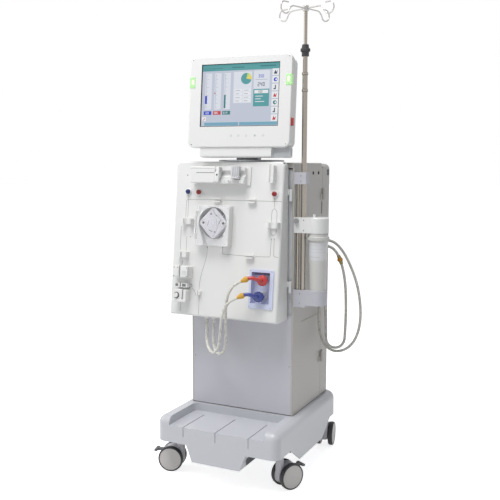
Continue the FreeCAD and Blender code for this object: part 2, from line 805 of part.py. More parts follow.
def caster_fork(braked):
    """Hood between the wheels, its hub, collar, stem and axle; the wheels trail towards -Y."""
    centre = (-TRAIL, WHEEL_R)
    hood = rod((-HOOD_HALF, centre[0], centre[1]), X_AXIS, HOOD_R, 2 * HOOD_HALF)
    hood_low = WHEEL_R - HOOD_LIFT
    hood = hood.cut(block(-HOOD_HALF, HOOD_HALF, -TRAIL - HOOD_R - 1, HOOD_R, 0, hood_low))
    hub = rod((0, 0, hood_low), Z_AXIS, HOOD_HUB_R, HOOD_TOP - hood_low)
    collar = rod((0, 0, HOOD_TOP), Z_AXIS, COLLAR_R, BUSH_BOTTOM - GAP - HOOD_TOP)
    stem = rod((0, 0, HOOD_TOP), Z_AXIS, STEM_R, STEM_TOP - HOOD_TOP)
    axle = rod((-WHEEL_IN - WHEEL_W, centre[0], centre[1]), X_AXIS, AXLE_R, 2 * (WHEEL_IN + WHEEL_W))
    hub = hub.common(block(-HOOD_HALF, HOOD_HALF, -HOOD_R, HOOD_R, 0, HOOD_TOP))
    fork = join(hood, hub, collar, stem, axle)
    if braked:
        y, z = pedal_pivot()
        notch = block(-PEDAL_HALF - GAP, PEDAL_HALF + GAP, y - PEDAL_ARM, y + PEDAL_KNUCKLE_R + 2,
                      z - 2 * PEDAL_KNUCKLE_R - 2, z + PEDAL_ARM)
        pin = rod((-HOOD_HALF + HOOD_SKIN, y, z), X_AXIS, PEDAL_PIN_R, 2 * (HOOD_HALF - HOOD_SKIN))
        fork = join(fork.cut(notch), pin)
    return fork


def caster_wheel():
    """Two wheels on one axle."""
    sides = []
    for start in (-WHEEL_IN - WHEEL_W, WHEEL_IN):
        disc = rod((start, -TRAIL, WHEEL_R), X_AXIS, WHEEL_R, WHEEL_W)
        disc = round_rim(disc, 5, lambda e: e.Closed and abs(e.Curve.Radius - WHEEL_R) < 0.01)
        sides.append(disc.cut(rod((start, -TRAIL, WHEEL_R), X_AXIS, AXLE_R + RUN, WHEEL_W)))
    return Part.makeCompound(sides)


def brake_pedal():
    y, z = pedal_pivot()
    knuckle = rod((-PEDAL_HALF, y, z), X_AXIS, PEDAL_KNUCKLE_R, 2 * PEDAL_HALF)
    arm = block(-PEDAL_HALF, PEDAL_HALF, y - PEDAL_ARM, y, z - PEDAL_ARM_HALF, z + PEDAL_ARM_HALF)
    near, far = PEDAL_TAB
    tab = block(-PEDAL_TAB_HALF, PEDAL_TAB_HALF, y - far, y - near,
                z - PEDAL_ARM_HALF - 1, z + PEDAL_ARM_HALF)
    tab = round_edges(tab, PEDAL_ARM_HALF, X_AXIS)
    pedal = join(knuckle, arm, tab)
    return pedal.cut(rod((-PEDAL_HALF, y, z), X_AXIS, PEDAL_PIN_R + RUN, 2 * PEDAL_HALF))


# Cabinet panels

def lower_front_panel():
    half = panel_edge()
    panel = block(-half, half, 0, LOWER_RETURN, BASE_TOP + 1, LOWER_TOP)
    inside = block(-half + PANEL_T, half - PANEL_T, PANEL_T, LOWER_RETURN,
                   BASE_TOP + 1 + PANEL_T, LOWER_TOP - PANEL_T)
    corners = [block(x - 1, x + POST + 1, POST_FRONT, POST_FRONT + POST, BASE_TOP, LOWER_TOP + 1)
               for x, y in post_corners() if y == POST_FRONT]
    screws = [rod((side * LOWER_SCREW_X, -1, LOWER_SCREW_Z), Y_AXIS, LOWER_SCREW_R, PANEL_T + 2)
              for side in (-1, 1)]
    bulkhead = block(-half, half, POST_FRONT - 2 * SEAT, LOWER_RETURN,
                     BULKHEAD_BOTTOM - 2 * SEAT, LOWER_TOP + 1)
    return cut(panel, inside, bulkhead, *corners, *screws)


def side_panel(side):
    """Moulded side with a front lip and a rear lip that close round the frame."""
    outer, inner = side * CAB_HALF, side * (CAB_HALF - PANEL_T)
    top = CAB_TOP - TOP_COVER_H
    skin = block(min(outer, inner), max(outer, inner), 0, CAB_D, BASE_TOP, top)
    front_in = side * (CAB_HALF - PANEL_LIP)
    front = block(min(outer, front_in), max(outer, front_in), 0, PANEL_T, BASE_TOP, top)
    rear_in = side * (CAB_HALF - PANEL_REAR_LIP)
    rear = block(min(outer, rear_in), max(outer, rear_in), CAB_D - 3, CAB_D, BASE_TOP, top)
    panel = join(skin, front, rear)
    return round_edges(panel, 3, Z_AXIS, lambda p: p.y < 1 and abs(abs(p.x) - CAB_HALF) < 0.1)


def right_side_panel():
    panel = side_panel(1)
    face = CAB_HALF
    ledge = block(face - 1.5, face + 1, LEDGE_Y0, LEDGE_Y1, LEDGE_Z - LEDGE_H / 2, LEDGE_Z + LEDGE_H / 2)
    sockets = [rod((face - SOCKET_DEPTH, y, SOCKET_Z), X_AXIS, SOCKET_R, SOCKET_DEPTH + 1) for y in SOCKET_Y]
    finger = block(face - FINGER_IN, face + 1, CAB_D - FINGER_DEPTH, CAB_D + 1, FINGER_Z0, FINGER_Z1)
    finger = round_edges(finger, FINGER_R, X_AXIS, lambda p: p.y < CAB_D)
    panel = cut(panel, ledge, finger, *sockets)
    leaves = []
    for z in REAR_HINGE_Z:
        leaves.append(block(face, face + 3, REAR_HINGE_Y - 24, REAR_HINGE_Y, z - HINGE_H, z))
        leaves.append(rod((REAR_HINGE_X, REAR_HINGE_Y, z - HINGE_H), Z_AXIS, HINGE_R, HINGE_H))
        leaves.append(rod((REAR_HINGE_X, REAR_HINGE_Y, z - HINGE_H), Z_AXIS, HINGE_PIN_R, 2 * HINGE_H - 1))
    return join(panel, *leaves)


def top_cover():
    low = CAB_TOP - TOP_COVER_H
    cover = block(-CAB_HALF, CAB_HALF, 0, CAB_D, low, CAB_TOP)
    cover = round_edges(cover, COVER_CORNER_R, Z_AXIS)
    cover = round_rim(cover, COVER_EDGE_R, lambda e: lies_at(e, "z", CAB_TOP))
    inside = block(-CAB_HALF + PANEL_T, CAB_HALF - PANEL_T, PANEL_T, CAB_D - PANEL_T,
                   low - 1, CAB_TOP - PANEL_T)
    boss = rod((0, SWIVEL_Y, low + 1), Z_AXIS, SPIGOT_R + SPIGOT_WALL, CAB_TOP - low - 1)
    raised = rod((0, SWIVEL_Y, CAB_TOP - 1), Z_AXIS, RACE_RING_R, TABLE_Z - GAP - CAB_TOP + 1)
    bore = rod((0, SWIVEL_Y, low), Z_AXIS, SPIGOT_R + RUN, TABLE_Z - low)
    return cut(join(cut(cover, inside), boss, raised), bore)


def rear_door():
    outer = block(-CAB_HALF, CAB_HALF, REAR_FRONT, REAR_BACK, REAR_BOTTOM, REAR_TOP)
    outer = round_edges(outer, REAR_EDGE_R, Z_AXIS, lambda p: p.y > REAR_BACK - 1)
    outer = round_edges(outer, REAR_TOP_R, X_AXIS, lambda p: p.y > REAR_BACK - 1 and p.z > REAR_TOP - 1)
    inside = block(-CAB_HALF + REAR_WALL, CAB_HALF - REAR_WALL, REAR_FRONT - 1, REAR_BACK - REAR_WALL,
                   REAR_BOTTOM + REAR_WALL, REAR_TOP - REAR_WALL)
    inside = round_edges(inside, REAR_EDGE_R - REAR_WALL, Z_AXIS, lambda p: p.y > REAR_FRONT)
    inside = round_edges(inside, REAR_TOP_R - REAR_WALL, X_AXIS,
                         lambda p: p.y > REAR_FRONT and p.z > REAR_TOP / 2)
    vents = [block(CAB_HALF - REAR_WALL - 1, CAB_HALF + 1, VENT_Y + j * VENT_PITCH,
                   VENT_Y + j * VENT_PITCH + VENT_CELL, VENT_Z + k * VENT_PITCH,
                   VENT_Z + k * VENT_PITCH + VENT_CELL) for j in (0, 1) for k in (0, 1)]
    grip = block(-CAB_HALF - 1, -CAB_HALF + FINGER_IN, REAR_FRONT - 1, REAR_FRONT + FINGER_DEPTH,
                 FINGER_Z0, FINGER_Z1)
    grip = round_edges(grip, FINGER_R, X_AXIS, lambda p: p.y > REAR_FRONT)
    door = cut(outer, inside, grip, *vents)
    leaves = []
    for z in REAR_HINGE_Z:
        low = z + GAP
        leaves.append(block(CAB_HALF, CAB_HALF + 3, REAR_HINGE_Y, REAR_HINGE_Y + 24, low, low + HINGE_H))
        leaves.append(rod((REAR_HINGE_X, REAR_HINGE_Y, low), Z_AXIS, HINGE_R, HINGE_H))
    bores = [rod((REAR_HINGE_X, REAR_HINGE_Y, z), Z_AXIS, HINGE_PIN_R + RUN, HINGE_H + 2)
             for z in REAR_HINGE_Z]
    return cut(join(door, *leaves), *bores)


# Units inside the cabinet

def hydraulic_block():
    """Manifold plate on the bulkhead, flow pumps on it and the heater vessel on its shelf."""
    x0, x1, z0, z1 = MANIFOLD
    front = POST_FRONT + BULKHEAD_T
    plate = block(x0, x1, front, front + MANIFOLD_D, z0, z1)
    pumps = [rod((x, front + MANIFOLD_D, z), Y_AXIS, FLOW_PUMP_R, FLOW_PUMP_L) for x, z in FLOW_PUMP_SITES]
    vessel = rod((*VESSEL_SITE, SHELF_Z), Z_AXIS, VESSEL_R, VESSEL_H)
    vessel = round_rim(vessel, 12, lambda e: lies_at(e, "z", SHELF_Z + VESSEL_H))
    return Part.makeCompound([join(plate, *pumps), vessel])


def power_supply():
    x0, x1, y0, y1 = SUPPLY
    floor = RAIL_Z + RAIL_H + DECK_T
    body = block(x0, x1, y0, y1, floor, floor + SUPPLY_H)
    hollow = block(x0 + SUPPLY_WALL, x1 - SUPPLY_WALL, y0 + SUPPLY_WALL, y1 - SUPPLY_WALL,
                   floor + SUPPLY_WALL, floor + SUPPLY_H - SUPPLY_WALL)
    slots = []
    for index in range(SUPPLY_SLOTS):
        start = x0 + SUPPLY_SLOT_PITCH * (index + 1)
        slots.append(block(start, start + SUPPLY_SLOT_W, y1 - SUPPLY_WALL - 1, y1 + 1,
                           floor + SUPPLY_SLOT_LOW, floor + SUPPLY_H - SUPPLY_SLOT_LOW))
    return cut(body, hollow, *slots)


# Front door

def door_wedge(inset):
    """Closed wedge, or its hollow when inset by the wall."""
    slope = (DOOR_TOP_Y - DOOR_BOTTOM_Y) / (DOOR_TOP - DOOR_BOTTOM)
    front_shift = inset / math.cos(math.radians(DOOR_TILT))
    low, high = DOOR_BOTTOM + inset, DOOR_TOP - inset
    back = DOOR_BACK_Y + (1 if inset else 0)
    profile = [(DOOR_BOTTOM_Y + slope * (low - DOOR_BOTTOM) + front_shift, low), (back, low),
               (back, high), (DOOR_BOTTOM_Y + slope * (high - DOOR_BOTTOM) + front_shift, high)]
    return prism(profile, "x", DOOR_LEFT + inset, DOOR_RIGHT - inset)


def door_bosses():
    """Corner bosses inside the door that carry the back plate."""
    back = DOOR_BACK_Y - DOOR_PLATE_T
    bosses = []
    for x in (DOOR_LEFT, DOOR_RIGHT - DOOR_BOSS):
        for z in (DOOR_BOTTOM, DOOR_TOP - DOOR_BOSS):
            bosses.append(block(x, x + DOOR_BOSS, back - DOOR_BOSS, back, z, z + DOOR_BOSS))
    return bosses


def front_door():
    outer = door_wedge(0)
    outer = round_rim(outer, DOOR_CORNER_R, lambda e: along(e, Y_AXIS) and e.CenterOfMass.z > DOOR_TOP - 1)
    outer = round_rim(outer, DOOR_EDGE_R, lambda e: e.BoundBox.YMax < DOOR_TOP_Y + DOOR_CORNER_R)
    shell = outer.cut(door_wedge(DOOR_WALL))
    shell = join(shell, *[boss.common(outer) for boss in door_bosses()])
    pump_hole = block(PUMP_X0 - SEAT, PUMP_X1 + SEAT, -HOLE_OUT, PUMP_HOLE_IN, PUMP_S0 - SEAT, PUMP_S1 + SEAT)
    bridge_hole = block(BRIDGE_IN_X[0] - BRIDGE_WALL - SEAT, BRIDGE_IN_X[1] + BRIDGE_WALL + SEAT,
                        -HOLE_OUT, BRIDGE_HOLE_IN,
                        BRIDGE_IN_S[0] - BRIDGE_WALL - SEAT, BRIDGE_IN_S[1] + BRIDGE_WALL + SEAT)
    shell = cut(shell, on_door(bridge_hole), on_door(pump_hole))
    fittings = []
    for x, y in (GROMMET_RED, GROMMET_BLUE):
        fittings.append(rod((x, y, DOOR_BOTTOM - GROMMET_H), Z_AXIS, GROMMET_R, GROMMET_H + 1))
    for low, high in door_knuckle_heights():
        fittings.append(block(DOOR_RIGHT - 1, DOOR_HINGE_X, DOOR_HINGE_Y - 3, DOOR_BACK_Y,
                              high, high + HINGE_H))
        fittings.append(rod((DOOR_HINGE_X, DOOR_HINGE_Y, high), Z_AXIS, HINGE_R, HINGE_H))
    bores = [rod((DOOR_HINGE_X, DOOR_HINGE_Y, high - 1), Z_AXIS, HINGE_PIN_R + RUN, HINGE_H + 2)
             for low, high in door_knuckle_heights()]
    return cut(join(shell, *fittings), *bores)


def door_back_plate():
    margin = DOOR_WALL + SEAT
    return block(DOOR_LEFT + margin, DOOR_RIGHT - margin, DOOR_BACK_Y - DOOR_PLATE_T, DOOR_BACK_Y,
                 DOOR_BOTTOM + margin, DOOR_TOP - margin)


# Blood pump

def pump_cavity():
    """Round raceway that narrows to the tubing mouth at the bottom."""
    race = rod((ROTOR_X, PUMP_FLOOR, ROTOR_S), -Y_AXIS, RACE_R, PUMP_FLOOR + PUMP_OUT + 1)
    shoulder, drop = RACE_R * 0.9, RACE_R * 0.43
    mouth = prism([(ROTOR_X - shoulder, ROTOR_S - drop), (ROTOR_X - RACE_MOUTH_HALF, PUMP_S0 + RACE_LIP),
                   (ROTOR_X - RACE_MOUTH_HALF, PUMP_S0 - 1), (ROTOR_X + RACE_MOUTH_HALF, PUMP_S0 - 1),
                   (ROTOR_X + RACE_MOUTH_HALF, PUMP_S0 + RACE_LIP), (ROTOR_X + shoulder, ROTOR_S - drop)],
                  "y", -PUMP_OUT - 1, PUMP_FLOOR - MOUTH_STEP)
    return [race, mouth]


def cover_hinge():
    return (PUMP_X0 - COVER_HINGE_OUT, -PUMP_OUT - GAP - COVER_T / 2)


def hinge_lugs():
    """Heights of the two lugs that hold the pin of the pump cover."""
    return [(PUMP_S0 + LUG_START, PUMP_S0 + LUG_END), (PUMP_S1 - LUG_END, PUMP_S1 - LUG_START)]


def blood_pump_housing():
    body = block(PUMP_X0, PUMP_X1, -PUMP_OUT, PUMP_IN, PUMP_S0, PUMP_S1)
    body = round_edges(body, 6, Y_AXIS)
    body = round_rim(body, 2.5, lambda e: lies_at(e, "y", -PUMP_OUT))
    body = cut(body, *pump_cavity())
    body = body.cut(rod((ROTOR_X, PUMP_FLOOR - 1, ROTOR_S), Y_AXIS, SHAFT_R + RUN, PUMP_IN))
    motor = sleeve((ROTOR_X, PUMP_IN, ROTOR_S), Y_AXIS, MOTOR_R, SHAFT_R + RUN, MOTOR_L)
    x, y = cover_hinge()
    lugs = []
    for s0, s1 in hinge_lugs():
        lugs.append(rod((x, y, s0), Z_AXIS, COVER_HINGE_R, s1 - s0))
        lugs.append(block(x - COVER_HINGE_R, PUMP_X0 + 1, y, -PUMP_OUT + 12, s0, s1))
    pin = rod((x, y, PUMP_S0 + LUG_START), Z_AXIS, COVER_PIN_R, PUMP_S1 - PUMP_S0 - 2 * LUG_START)
    return on_door(join(body, motor, *lugs, pin))


def rotor_plate(low, high):
    """Diamond plate with cut tips; low and high are distances out of the door face."""
    points = []
    for k in range(4):
        angle = math.radians(90 * k)
        radial = (math.cos(angle), math.sin(angle))
        side = (-radial[1], radial[0])
        for sign in (-1, 1):
            points.append((ROTOR_X + radial[0] * ROTOR_TIP + sign * side[0] * ROTOR_FLAT / 2,
                           ROTOR_S + radial[1] * ROTOR_TIP + sign * side[1] * ROTOR_FLAT / 2))
    return prism(points, "y", -high, -low)


def pump_rotor():
    low = rotor_plate(ROTOR_LOW, ROTOR_LOW + ROTOR_PLATE)
    high = rotor_plate(ROTOR_TOP - ROTOR_PLATE, ROTOR_TOP)
    hub = rod((ROTOR_X, -ROTOR_LOW, ROTOR_S), -Y_AXIS, ROTOR_HUB_R, ROTOR_TOP - ROTOR_LOW)
    half = ROTOR_CAP / 2
    cap = block(ROTOR_X - half, ROTOR_X + half, -ROTOR_TOP - ROTOR_CAP_H, -ROTOR_TOP,
                ROTOR_S - half, ROTOR_S + half)
    cap = round_edges(cap, 4, Y_AXIS)
    shaft = rod((ROTOR_X, -ROTOR_LOW - 1, ROTOR_S), Y_AXIS, SHAFT_R, SHAFT_DEPTH)
    pins = []
    for dx, ds, radius in ((-ROLLER_ORBIT, 0, ROLLER_PIN_R), (ROLLER_ORBIT, 0, ROLLER_PIN_R),
                           (0, -GUIDE_ORBIT, GUIDE_R), (0, GUIDE_ORBIT, GUIDE_R)):
        pins.append(rod((ROTOR_X + dx, -ROTOR_LOW, ROTOR_S + ds), -Y_AXIS, radius, ROTOR_TOP - ROTOR_LOW))
    return on_door(join(low, high, hub, cap, shaft, *pins))


def pump_roller(side):
    start = ROTOR_LOW + ROTOR_PLATE + GAP
    length = ROTOR_TOP - ROTOR_LOW - 2 * ROTOR_PLATE - 2 * GAP
    return on_door(sleeve((ROTOR_X + side * ROLLER_ORBIT, -start, ROTOR_S), -Y_AXIS,
                          ROLLER_R, ROLLER_PIN_R + RUN, length))


def pump_cover():
    front = -PUMP_OUT - GAP
    plate = block(PUMP_X0 + COVER_INSET, PUMP_X1 - COVER_INSET, front - COVER_T, front,
                  PUMP_S0 + COVER_INSET, PUMP_S1 - COVER_INSET)
    plate = round_edges(plate, 5, Y_AXIS)
    x, y = cover_hinge()
    s0, s1 = PUMP_S0 + LUG_END + GAP, PUMP_S1 - LUG_END - GAP
    strap = block(x, PUMP_X0 + 6, front - COVER_T, front, s0, s1)
    knuckle = rod((x, y, s0), Z_AXIS, COVER_HINGE_R, s1 - s0)
    notches = [block(x - COVER_HINGE_R - 1, PUMP_X0 + COVER_HINGE_R, front - COVER_T - 3, front + 5,
                     a - GAP, b + GAP) for a, b in hinge_lugs()]
    cover = join(cut(plate, *notches), strap, knuckle)
    return on_door(cover.cut(rod((x, y, s0 - 1), Z_AXIS, COVER_PIN_R + RUN, s1 - s0 + 2)))


# Syringe pump

def syringe_pump_housing():
    margin = SYR_PLATE_MARGIN
    plate = rounded_plate(SYR_X0 - margin, SYR_X1 + 3 * margin, SYR_S0 - margin, SYR_S1 + margin,
                          -SYR_PLATE, 0, 6)
    drive = rounded_plate(SYR_X0, SYR_BOX_X1, SYR_S0, SYR_S1, -SYR_OUT, -SYR_PLATE, 8)
    drive = round_rim(drive, 4, lambda e: lies_at(e, "y", -SYR_OUT))
    drive = drive.cut(rod((SYR_X0 + SYR_PLATE, -SYR_ROD_OUT, SYR_ROD_S), X_AXIS, SYR_ROD_R + RUN,
                          SYR_BOX_X1 - SYR_X0))
    cradle = rounded_plate(SYR_BOX_X1 - 6, SYR_X1, SYR_S0, SYR_S1, -SYR_CRADLE_OUT, -SYR_PLATE, 5)
    trough = rod((SYR_BOX_X1, -SYR_CRADLE_OUT - 3, SYR_BARREL_S), X_AXIS, SYR_BARREL_R, SYR_X1 - SYR_BOX_X1 + 1)
    rest = block(SYR_BOX_X1 - 6, SYR_X1, -SYR_CRADLE_OUT - 8, -SYR_PLATE, SYR_S0, SYR_S0 + 14)
    body = join(cradle.cut(trough), rest, drive)
    post = rod((0.5 * (SYR_CLAMP_X0 + SYR_CLAMP_X1), -SYR_CRADLE_OUT - 1, SYR_S1 - 7), Y_AXIS,
               SYR_CLAMP_POST_R + RUN, SYR_CRADLE_OUT - SYR_PLATE)
    return on_door(join(plate, body.cut(post)))


def syringe_carriage():
    pusher = rounded_plate(SYR_PUSHER_X0, SYR_PUSHER_X1, SYR_S0 + SYR_PUSHER_UP, SYR_S1,
                           -SYR_OUT - 3, -SYR_CRADLE_OUT - GAP, 3)
    pusher = round_edges(pusher, 3, Z_AXIS, lambda p: p.y < -SYR_OUT)
    drive_rod = rod((SYR_X0 + 10, -SYR_ROD_OUT, SYR_ROD_S), X_AXIS, SYR_ROD_R, SYR_PUSHER_X0 - SYR_X0 - 6)
    return on_door(join(pusher, drive_rod))


def syringe_clamp():
    low = -SYR_CRADLE_OUT - GAP
    block_shape = rounded_plate(SYR_CLAMP_X0, SYR_CLAMP_X1, SYR_S0 + 16, SYR_S1 + 2, -SYR_CLAMP_OUT, low, 3)
    groove = rod((SYR_CLAMP_X0 - 1, low, SYR_BARREL_S), X_AXIS, SYR_BARREL_R, SYR_CLAMP_X1 - SYR_CLAMP_X0 + 2)
    middle = 0.5 * (SYR_CLAMP_X0 + SYR_CLAMP_X1)
    post = rod((middle, low - 1, SYR_S1 - 7), Y_AXIS, SYR_CLAMP_POST_R, SYR_CRADLE_OUT - SYR_PLATE - 2)
    return on_door(join(block_shape.cut(groove), post))


# Ports, clips and holders on the door face

def pressure_ports(colour):
    ports = []
    for x, s in PORT_SITES[colour]:
        ring = rod((x, 0, s), -Y_AXIS, PORT_RING_R, PORT_RING_H)
        stem = rod((x, 0, s), -Y_AXIS, PORT_R, PORT_OUT)
        stem = round_rim(stem, 1, lambda e: lies_at(e, "y", -PORT_OUT))
        bore = rod((x, -PORT_OUT - 1, s), Y_AXIS, PORT_BORE_R, PORT_BORE_DEPTH + 1)
        ports.append(on_door(join(ring, stem).cut(bore)))
    return Part.makeCompound(ports)


def line_clip(x, s, width, height):
    """Block with a snap groove for a blood line that runs across it."""
    body = rounded_plate(x - width / 2, x + width / 2, s - height / 2, s + height / 2, -CLIP_OUT, 0, 5)
    groove = rod((x - width, -CLIP_OUT + 3, s), X_AXIS, CLIP_GROOVE_R, 2 * width)
    half_throat = CLIP_GROOVE_R * 0.7
    throat = block(x - width, x + width, -CLIP_OUT - 1, -CLIP_OUT + 3, s - half_throat, s + half_throat)
    return cut(body, groove, throat)


def chamber_holder(x, s):
    """Rounded block with an upright bore that a drip chamber snaps into from the front."""
    half_w, half_h, half_throat = CHAMBER_W / 2, CHAMBER_H / 2, CHAMBER_THROAT / 2
    body = block(x - half_w, x + half_w, -CHAMBER_OUT, 0, s - half_h, s + half_h)
    body = round_edges(body, CHAMBER_CORNER_R, Z_AXIS, lambda p: p.y < 1 - CHAMBER_OUT)
    bore = rod((x, -CHAMBER_BORE_OUT, s - half_h - 1), Z_AXIS, CHAMBER_BORE_R, CHAMBER_H + 2)
    throat = block(x - half_throat, x + half_throat, -CHAMBER_OUT - 1, -CHAMBER_BORE_OUT,
                   s - half_h - 1, s + half_h + 1)
    return cut(body, bore, throat)


def holder_post():
    x0, x1 = POST_X
    s0, s1 = POST_S
    body = rounded_plate(x0, x1, s0, s1, -POST_OUT, 0, 5)
    body = round_rim(body, 2, lambda e: lies_at(e, "y", -POST_OUT))
    return body.cut(rod(((x0 + x1) / 2, -POST_OUT, s0 - 1), Z_AXIS, POST_GROOVE_R, s1 - s0 + 2))


def tubing_holders():
    clips = [line_clip(x, s, CLIP_W, CLIP_H) for x, s in CLIP_SITES]
    x, s = SMALL_CLIP
    upright = line_clip(0, 0, 18, CLIP_H)
    turned = moved(upright, FreeCAD.Placement(V(x, 0, s), FreeCAD.Rotation(Y_AXIS, 90)))
    holders = [chamber_holder(*CHAMBER_LEFT), chamber_holder(*CHAMBER_RIGHT), holder_post()]
    return on_door(Part.makeCompound(clips + [turned] + holders))


def line_slot(s0, s1, out, depth):
    return block(LINE_X - LINE_SLOT / 2, LINE_X + LINE_SLOT / 2, -out - 1, -out + depth, s0 - 1, s1 + 1)


def air_detector():
    """Slotted detector block, the slim sensor under it and the two guide fingers above it."""
    x0, x1 = DETECTOR_X
    body = rounded_plate(x0, x1, *DETECTOR_S, -DETECTOR_OUT, 0, 6)
    body = round_rim(body, 2, lambda e: lies_at(e, "y", -DETECTOR_OUT))
    body = body.cut(line_slot(*DETECTOR_S, DETECTOR_OUT, 22))
    sensor = rounded_plate(x0 + 4, x1 - 8, *SENSOR_S, -SENSOR_OUT, 0, 4)
    sensor = sensor.cut(line_slot(*SENSOR_S, SENSOR_OUT, 14))
    fingers = []
    for side in (-1, 1):
        x = FINGER_X + side * GUIDE_APART
        finger = rounded_plate(x - GUIDE_HALF_W, x + GUIDE_HALF_W,
                               FINGER_S - GUIDE_HALF_H, FINGER_S + GUIDE_HALF_H, -GUIDE_OUT, 0, 5)
        fingers.append(finger)
    half = GUIDE_WEB / 2
    bridge = block(FINGER_X - half, FINGER_X + half, -half, 0, FINGER_S - half, FINGER_S + half)
    return on_door(Part.makeCompound([body, sensor, join(bridge, *fingers)]))


def tube_clamp_block():
    body = rounded_plate(*CLAMP_X, *CLAMP_S, -CLAMP_OUT, 0, 6)
    body = round_rim(body, 2, lambda e: lies_at(e, "y", -CLAMP_OUT))
    start = LINE_X + CLAMP_LINE_SHIFT
    slot = block(start, start + LINE_SLOT, -CLAMP_OUT - 1, -CLAMP_OUT + CLAMP_SLOT_DEPTH,
                 CLAMP_S[0] - 1, CLAMP_S[1] + 1)
    bore = rod((PLUNGER_X, -CLAMP_OUT - 1, PLUNGER_S), Y_AXIS, PLUNGER_R + RUN,
               PLUNGER_DEPTH + PLUNGER_TRAVEL + 2)
    return on_door(cut(body, slot, bore))


def clamp_plunger():
    stem = rod((PLUNGER_X, -CLAMP_OUT - PLUNGER_OUT, PLUNGER_S), Y_AXIS, PLUNGER_R,
               PLUNGER_OUT + PLUNGER_DEPTH)
    return on_door(round_rim(stem, 2, lambda e: lies_at(e, "y", -CLAMP_OUT - PLUNGER_OUT)))


# Rinse bridge, couplings and dialysate hoses

def rinse_bridge():
    flange = rounded_plate(*BRIDGE_X, *BRIDGE_S, -BRIDGE_FLANGE, 0, 5)
    wall = BRIDGE_WALL
    pan = block(BRIDGE_IN_X[0] - wall, BRIDGE_IN_X[1] + wall, 0, BRIDGE_DEPTH,
                BRIDGE_IN_S[0] - wall, BRIDGE_IN_S[1] + wall)
    inside = block(*BRIDGE_IN_X, -BRIDGE_FLANGE - 1, BRIDGE_DEPTH - wall, *BRIDGE_IN_S)
    tray = join(flange, pan).cut(inside)
    stubs = [rod((x, BRIDGE_DEPTH - wall, s), -Y_AXIS, STUB_R, BRIDGE_DEPTH - wall + STUB_TOP)
             for x, s in (RED_SITE, BLUE_SITE)]
    return on_door(join(tray, *stubs))


def coupling_elbow(x, s):
    """Bent outlet of a coupling, in the door's frame."""
    start = V(x, -COUPLING_TOP + 2, s)
    top = start + V(0, -ELBOW_RISE, 0)
    turn = V(x, -COUPLING_TOP, s) + ELBOW_REACH
    end = V(x, -COUPLING_TOP, s) + ADAPTER_START
    return [start, top, turn, end]


def coupling(x, s):
    body = rod((x, -STUB_TOP, s), -Y_AXIS, COUPLING_R, COUPLING_GRIP + STUB_TOP)
    grip = rod((x, -COUPLING_GRIP, s), -Y_AXIS, COUPLING_GRIP_R, COUPLING_TOP - COUPLING_GRIP)
    grip = round_rim(grip, 2.5, lambda e: lies_at(e, "y", -COUPLING_TOP))
    flutes = []
    for k in range(COUPLING_FLUTES):
        a = math.tau * k / COUPLING_FLUTES
        reach = COUPLING_GRIP_R * 1.06
        spot = (x + reach * math.cos(a), -COUPLING_GRIP - 1, s + reach * math.sin(a))
        flutes.append(rod(spot, -Y_AXIS, COUPLING_FLUTE_R, COUPLING_TOP))
    elbow = tube(coupling_elbow(x, s), ELBOW_R)
    return on_door(join(body, cut(grip, *flutes), elbow))


def adapter_ends(site):
    """Start, end and direction of an adapter in the cabinet's frame."""
    points = coupling_elbow(*site)
    direction = (points[-1] - points[-2]).normalize()
    start = points[-1]
    end = start + direction * ADAPTER_LENGTH
    return DOOR_FRAME.multVec(start), DOOR_FRAME.multVec(end)


def hose_adapter(site):
    start, end = adapter_ends(site)
    axis = (end - start).normalize()
    collar = ADAPTER_LENGTH * ADAPTER_COLLAR
    ring = Part.makeCylinder(ADAPTER_R, collar, start, axis)
    nose = Part.makeCone(ADAPTER_R - 1, ADAPTER_NOSE_R, ADAPTER_LENGTH - collar, start + axis * collar, axis)
    return join(ring, nose)


def dialysate_hose(site, middle, grommet, report):
    start, end = adapter_ends(site)
    axis = (end - start).normalize()
    points = [tuple(end), tuple(end + axis * DIALYSATE_LEAD)] + middle
    points.append((grommet[0], grommet[1], DOOR_BOTTOM - GROMMET_H))
    return tube(points, DIALYSATE_R, report)


# Monitor

def monitor_turntable():
    disc = rod((0, 0, TABLE_Z), Z_AXIS, TABLE_R, TABLE_T)
    disc = round_rim(disc, 3, lambda e: lies_at(e, "z", TABLE_Z + TABLE_T))
    spigot = rod((0, 0, CAB_TOP - SPIGOT_H), Z_AXIS, SPIGOT_R, TABLE_Z - CAB_TOP + SPIGOT_H + 1)
    post = block(-YOKE_HALF, YOKE_HALF, -TILT_OUT - YOKE_R, -TILT_OUT + YOKE_R, TABLE_Z, TILT_Z)
    crown = rod((-YOKE_HALF, -TILT_OUT, TILT_Z), X_AXIS, YOKE_R, 2 * YOKE_HALF)
    pin_half = YOKE_HALF + GAP + CHEEK
    pin = rod((-pin_half, -TILT_OUT, TILT_Z), X_AXIS, TILT_PIN_R, 2 * pin_half)
    return on_swivel(join(disc, spigot, post, crown, pin))


def bezel_plate(inset, y0, y1):
    return rounded_plate(-BEZEL_HALF + inset, BEZEL_HALF - inset, BEZEL_LOW + inset, BEZEL_HIGH - inset,
                         y0, y1, BEZEL_R - inset)


def light_block(side):
    near, far = sorted((side * LIGHT_IN, side * (BEZEL_HALF + 1)))
    return block(near, far, -LIGHT_PROUD, BEZEL_D - 6, LIGHT_LOW, LIGHT_HIGH)


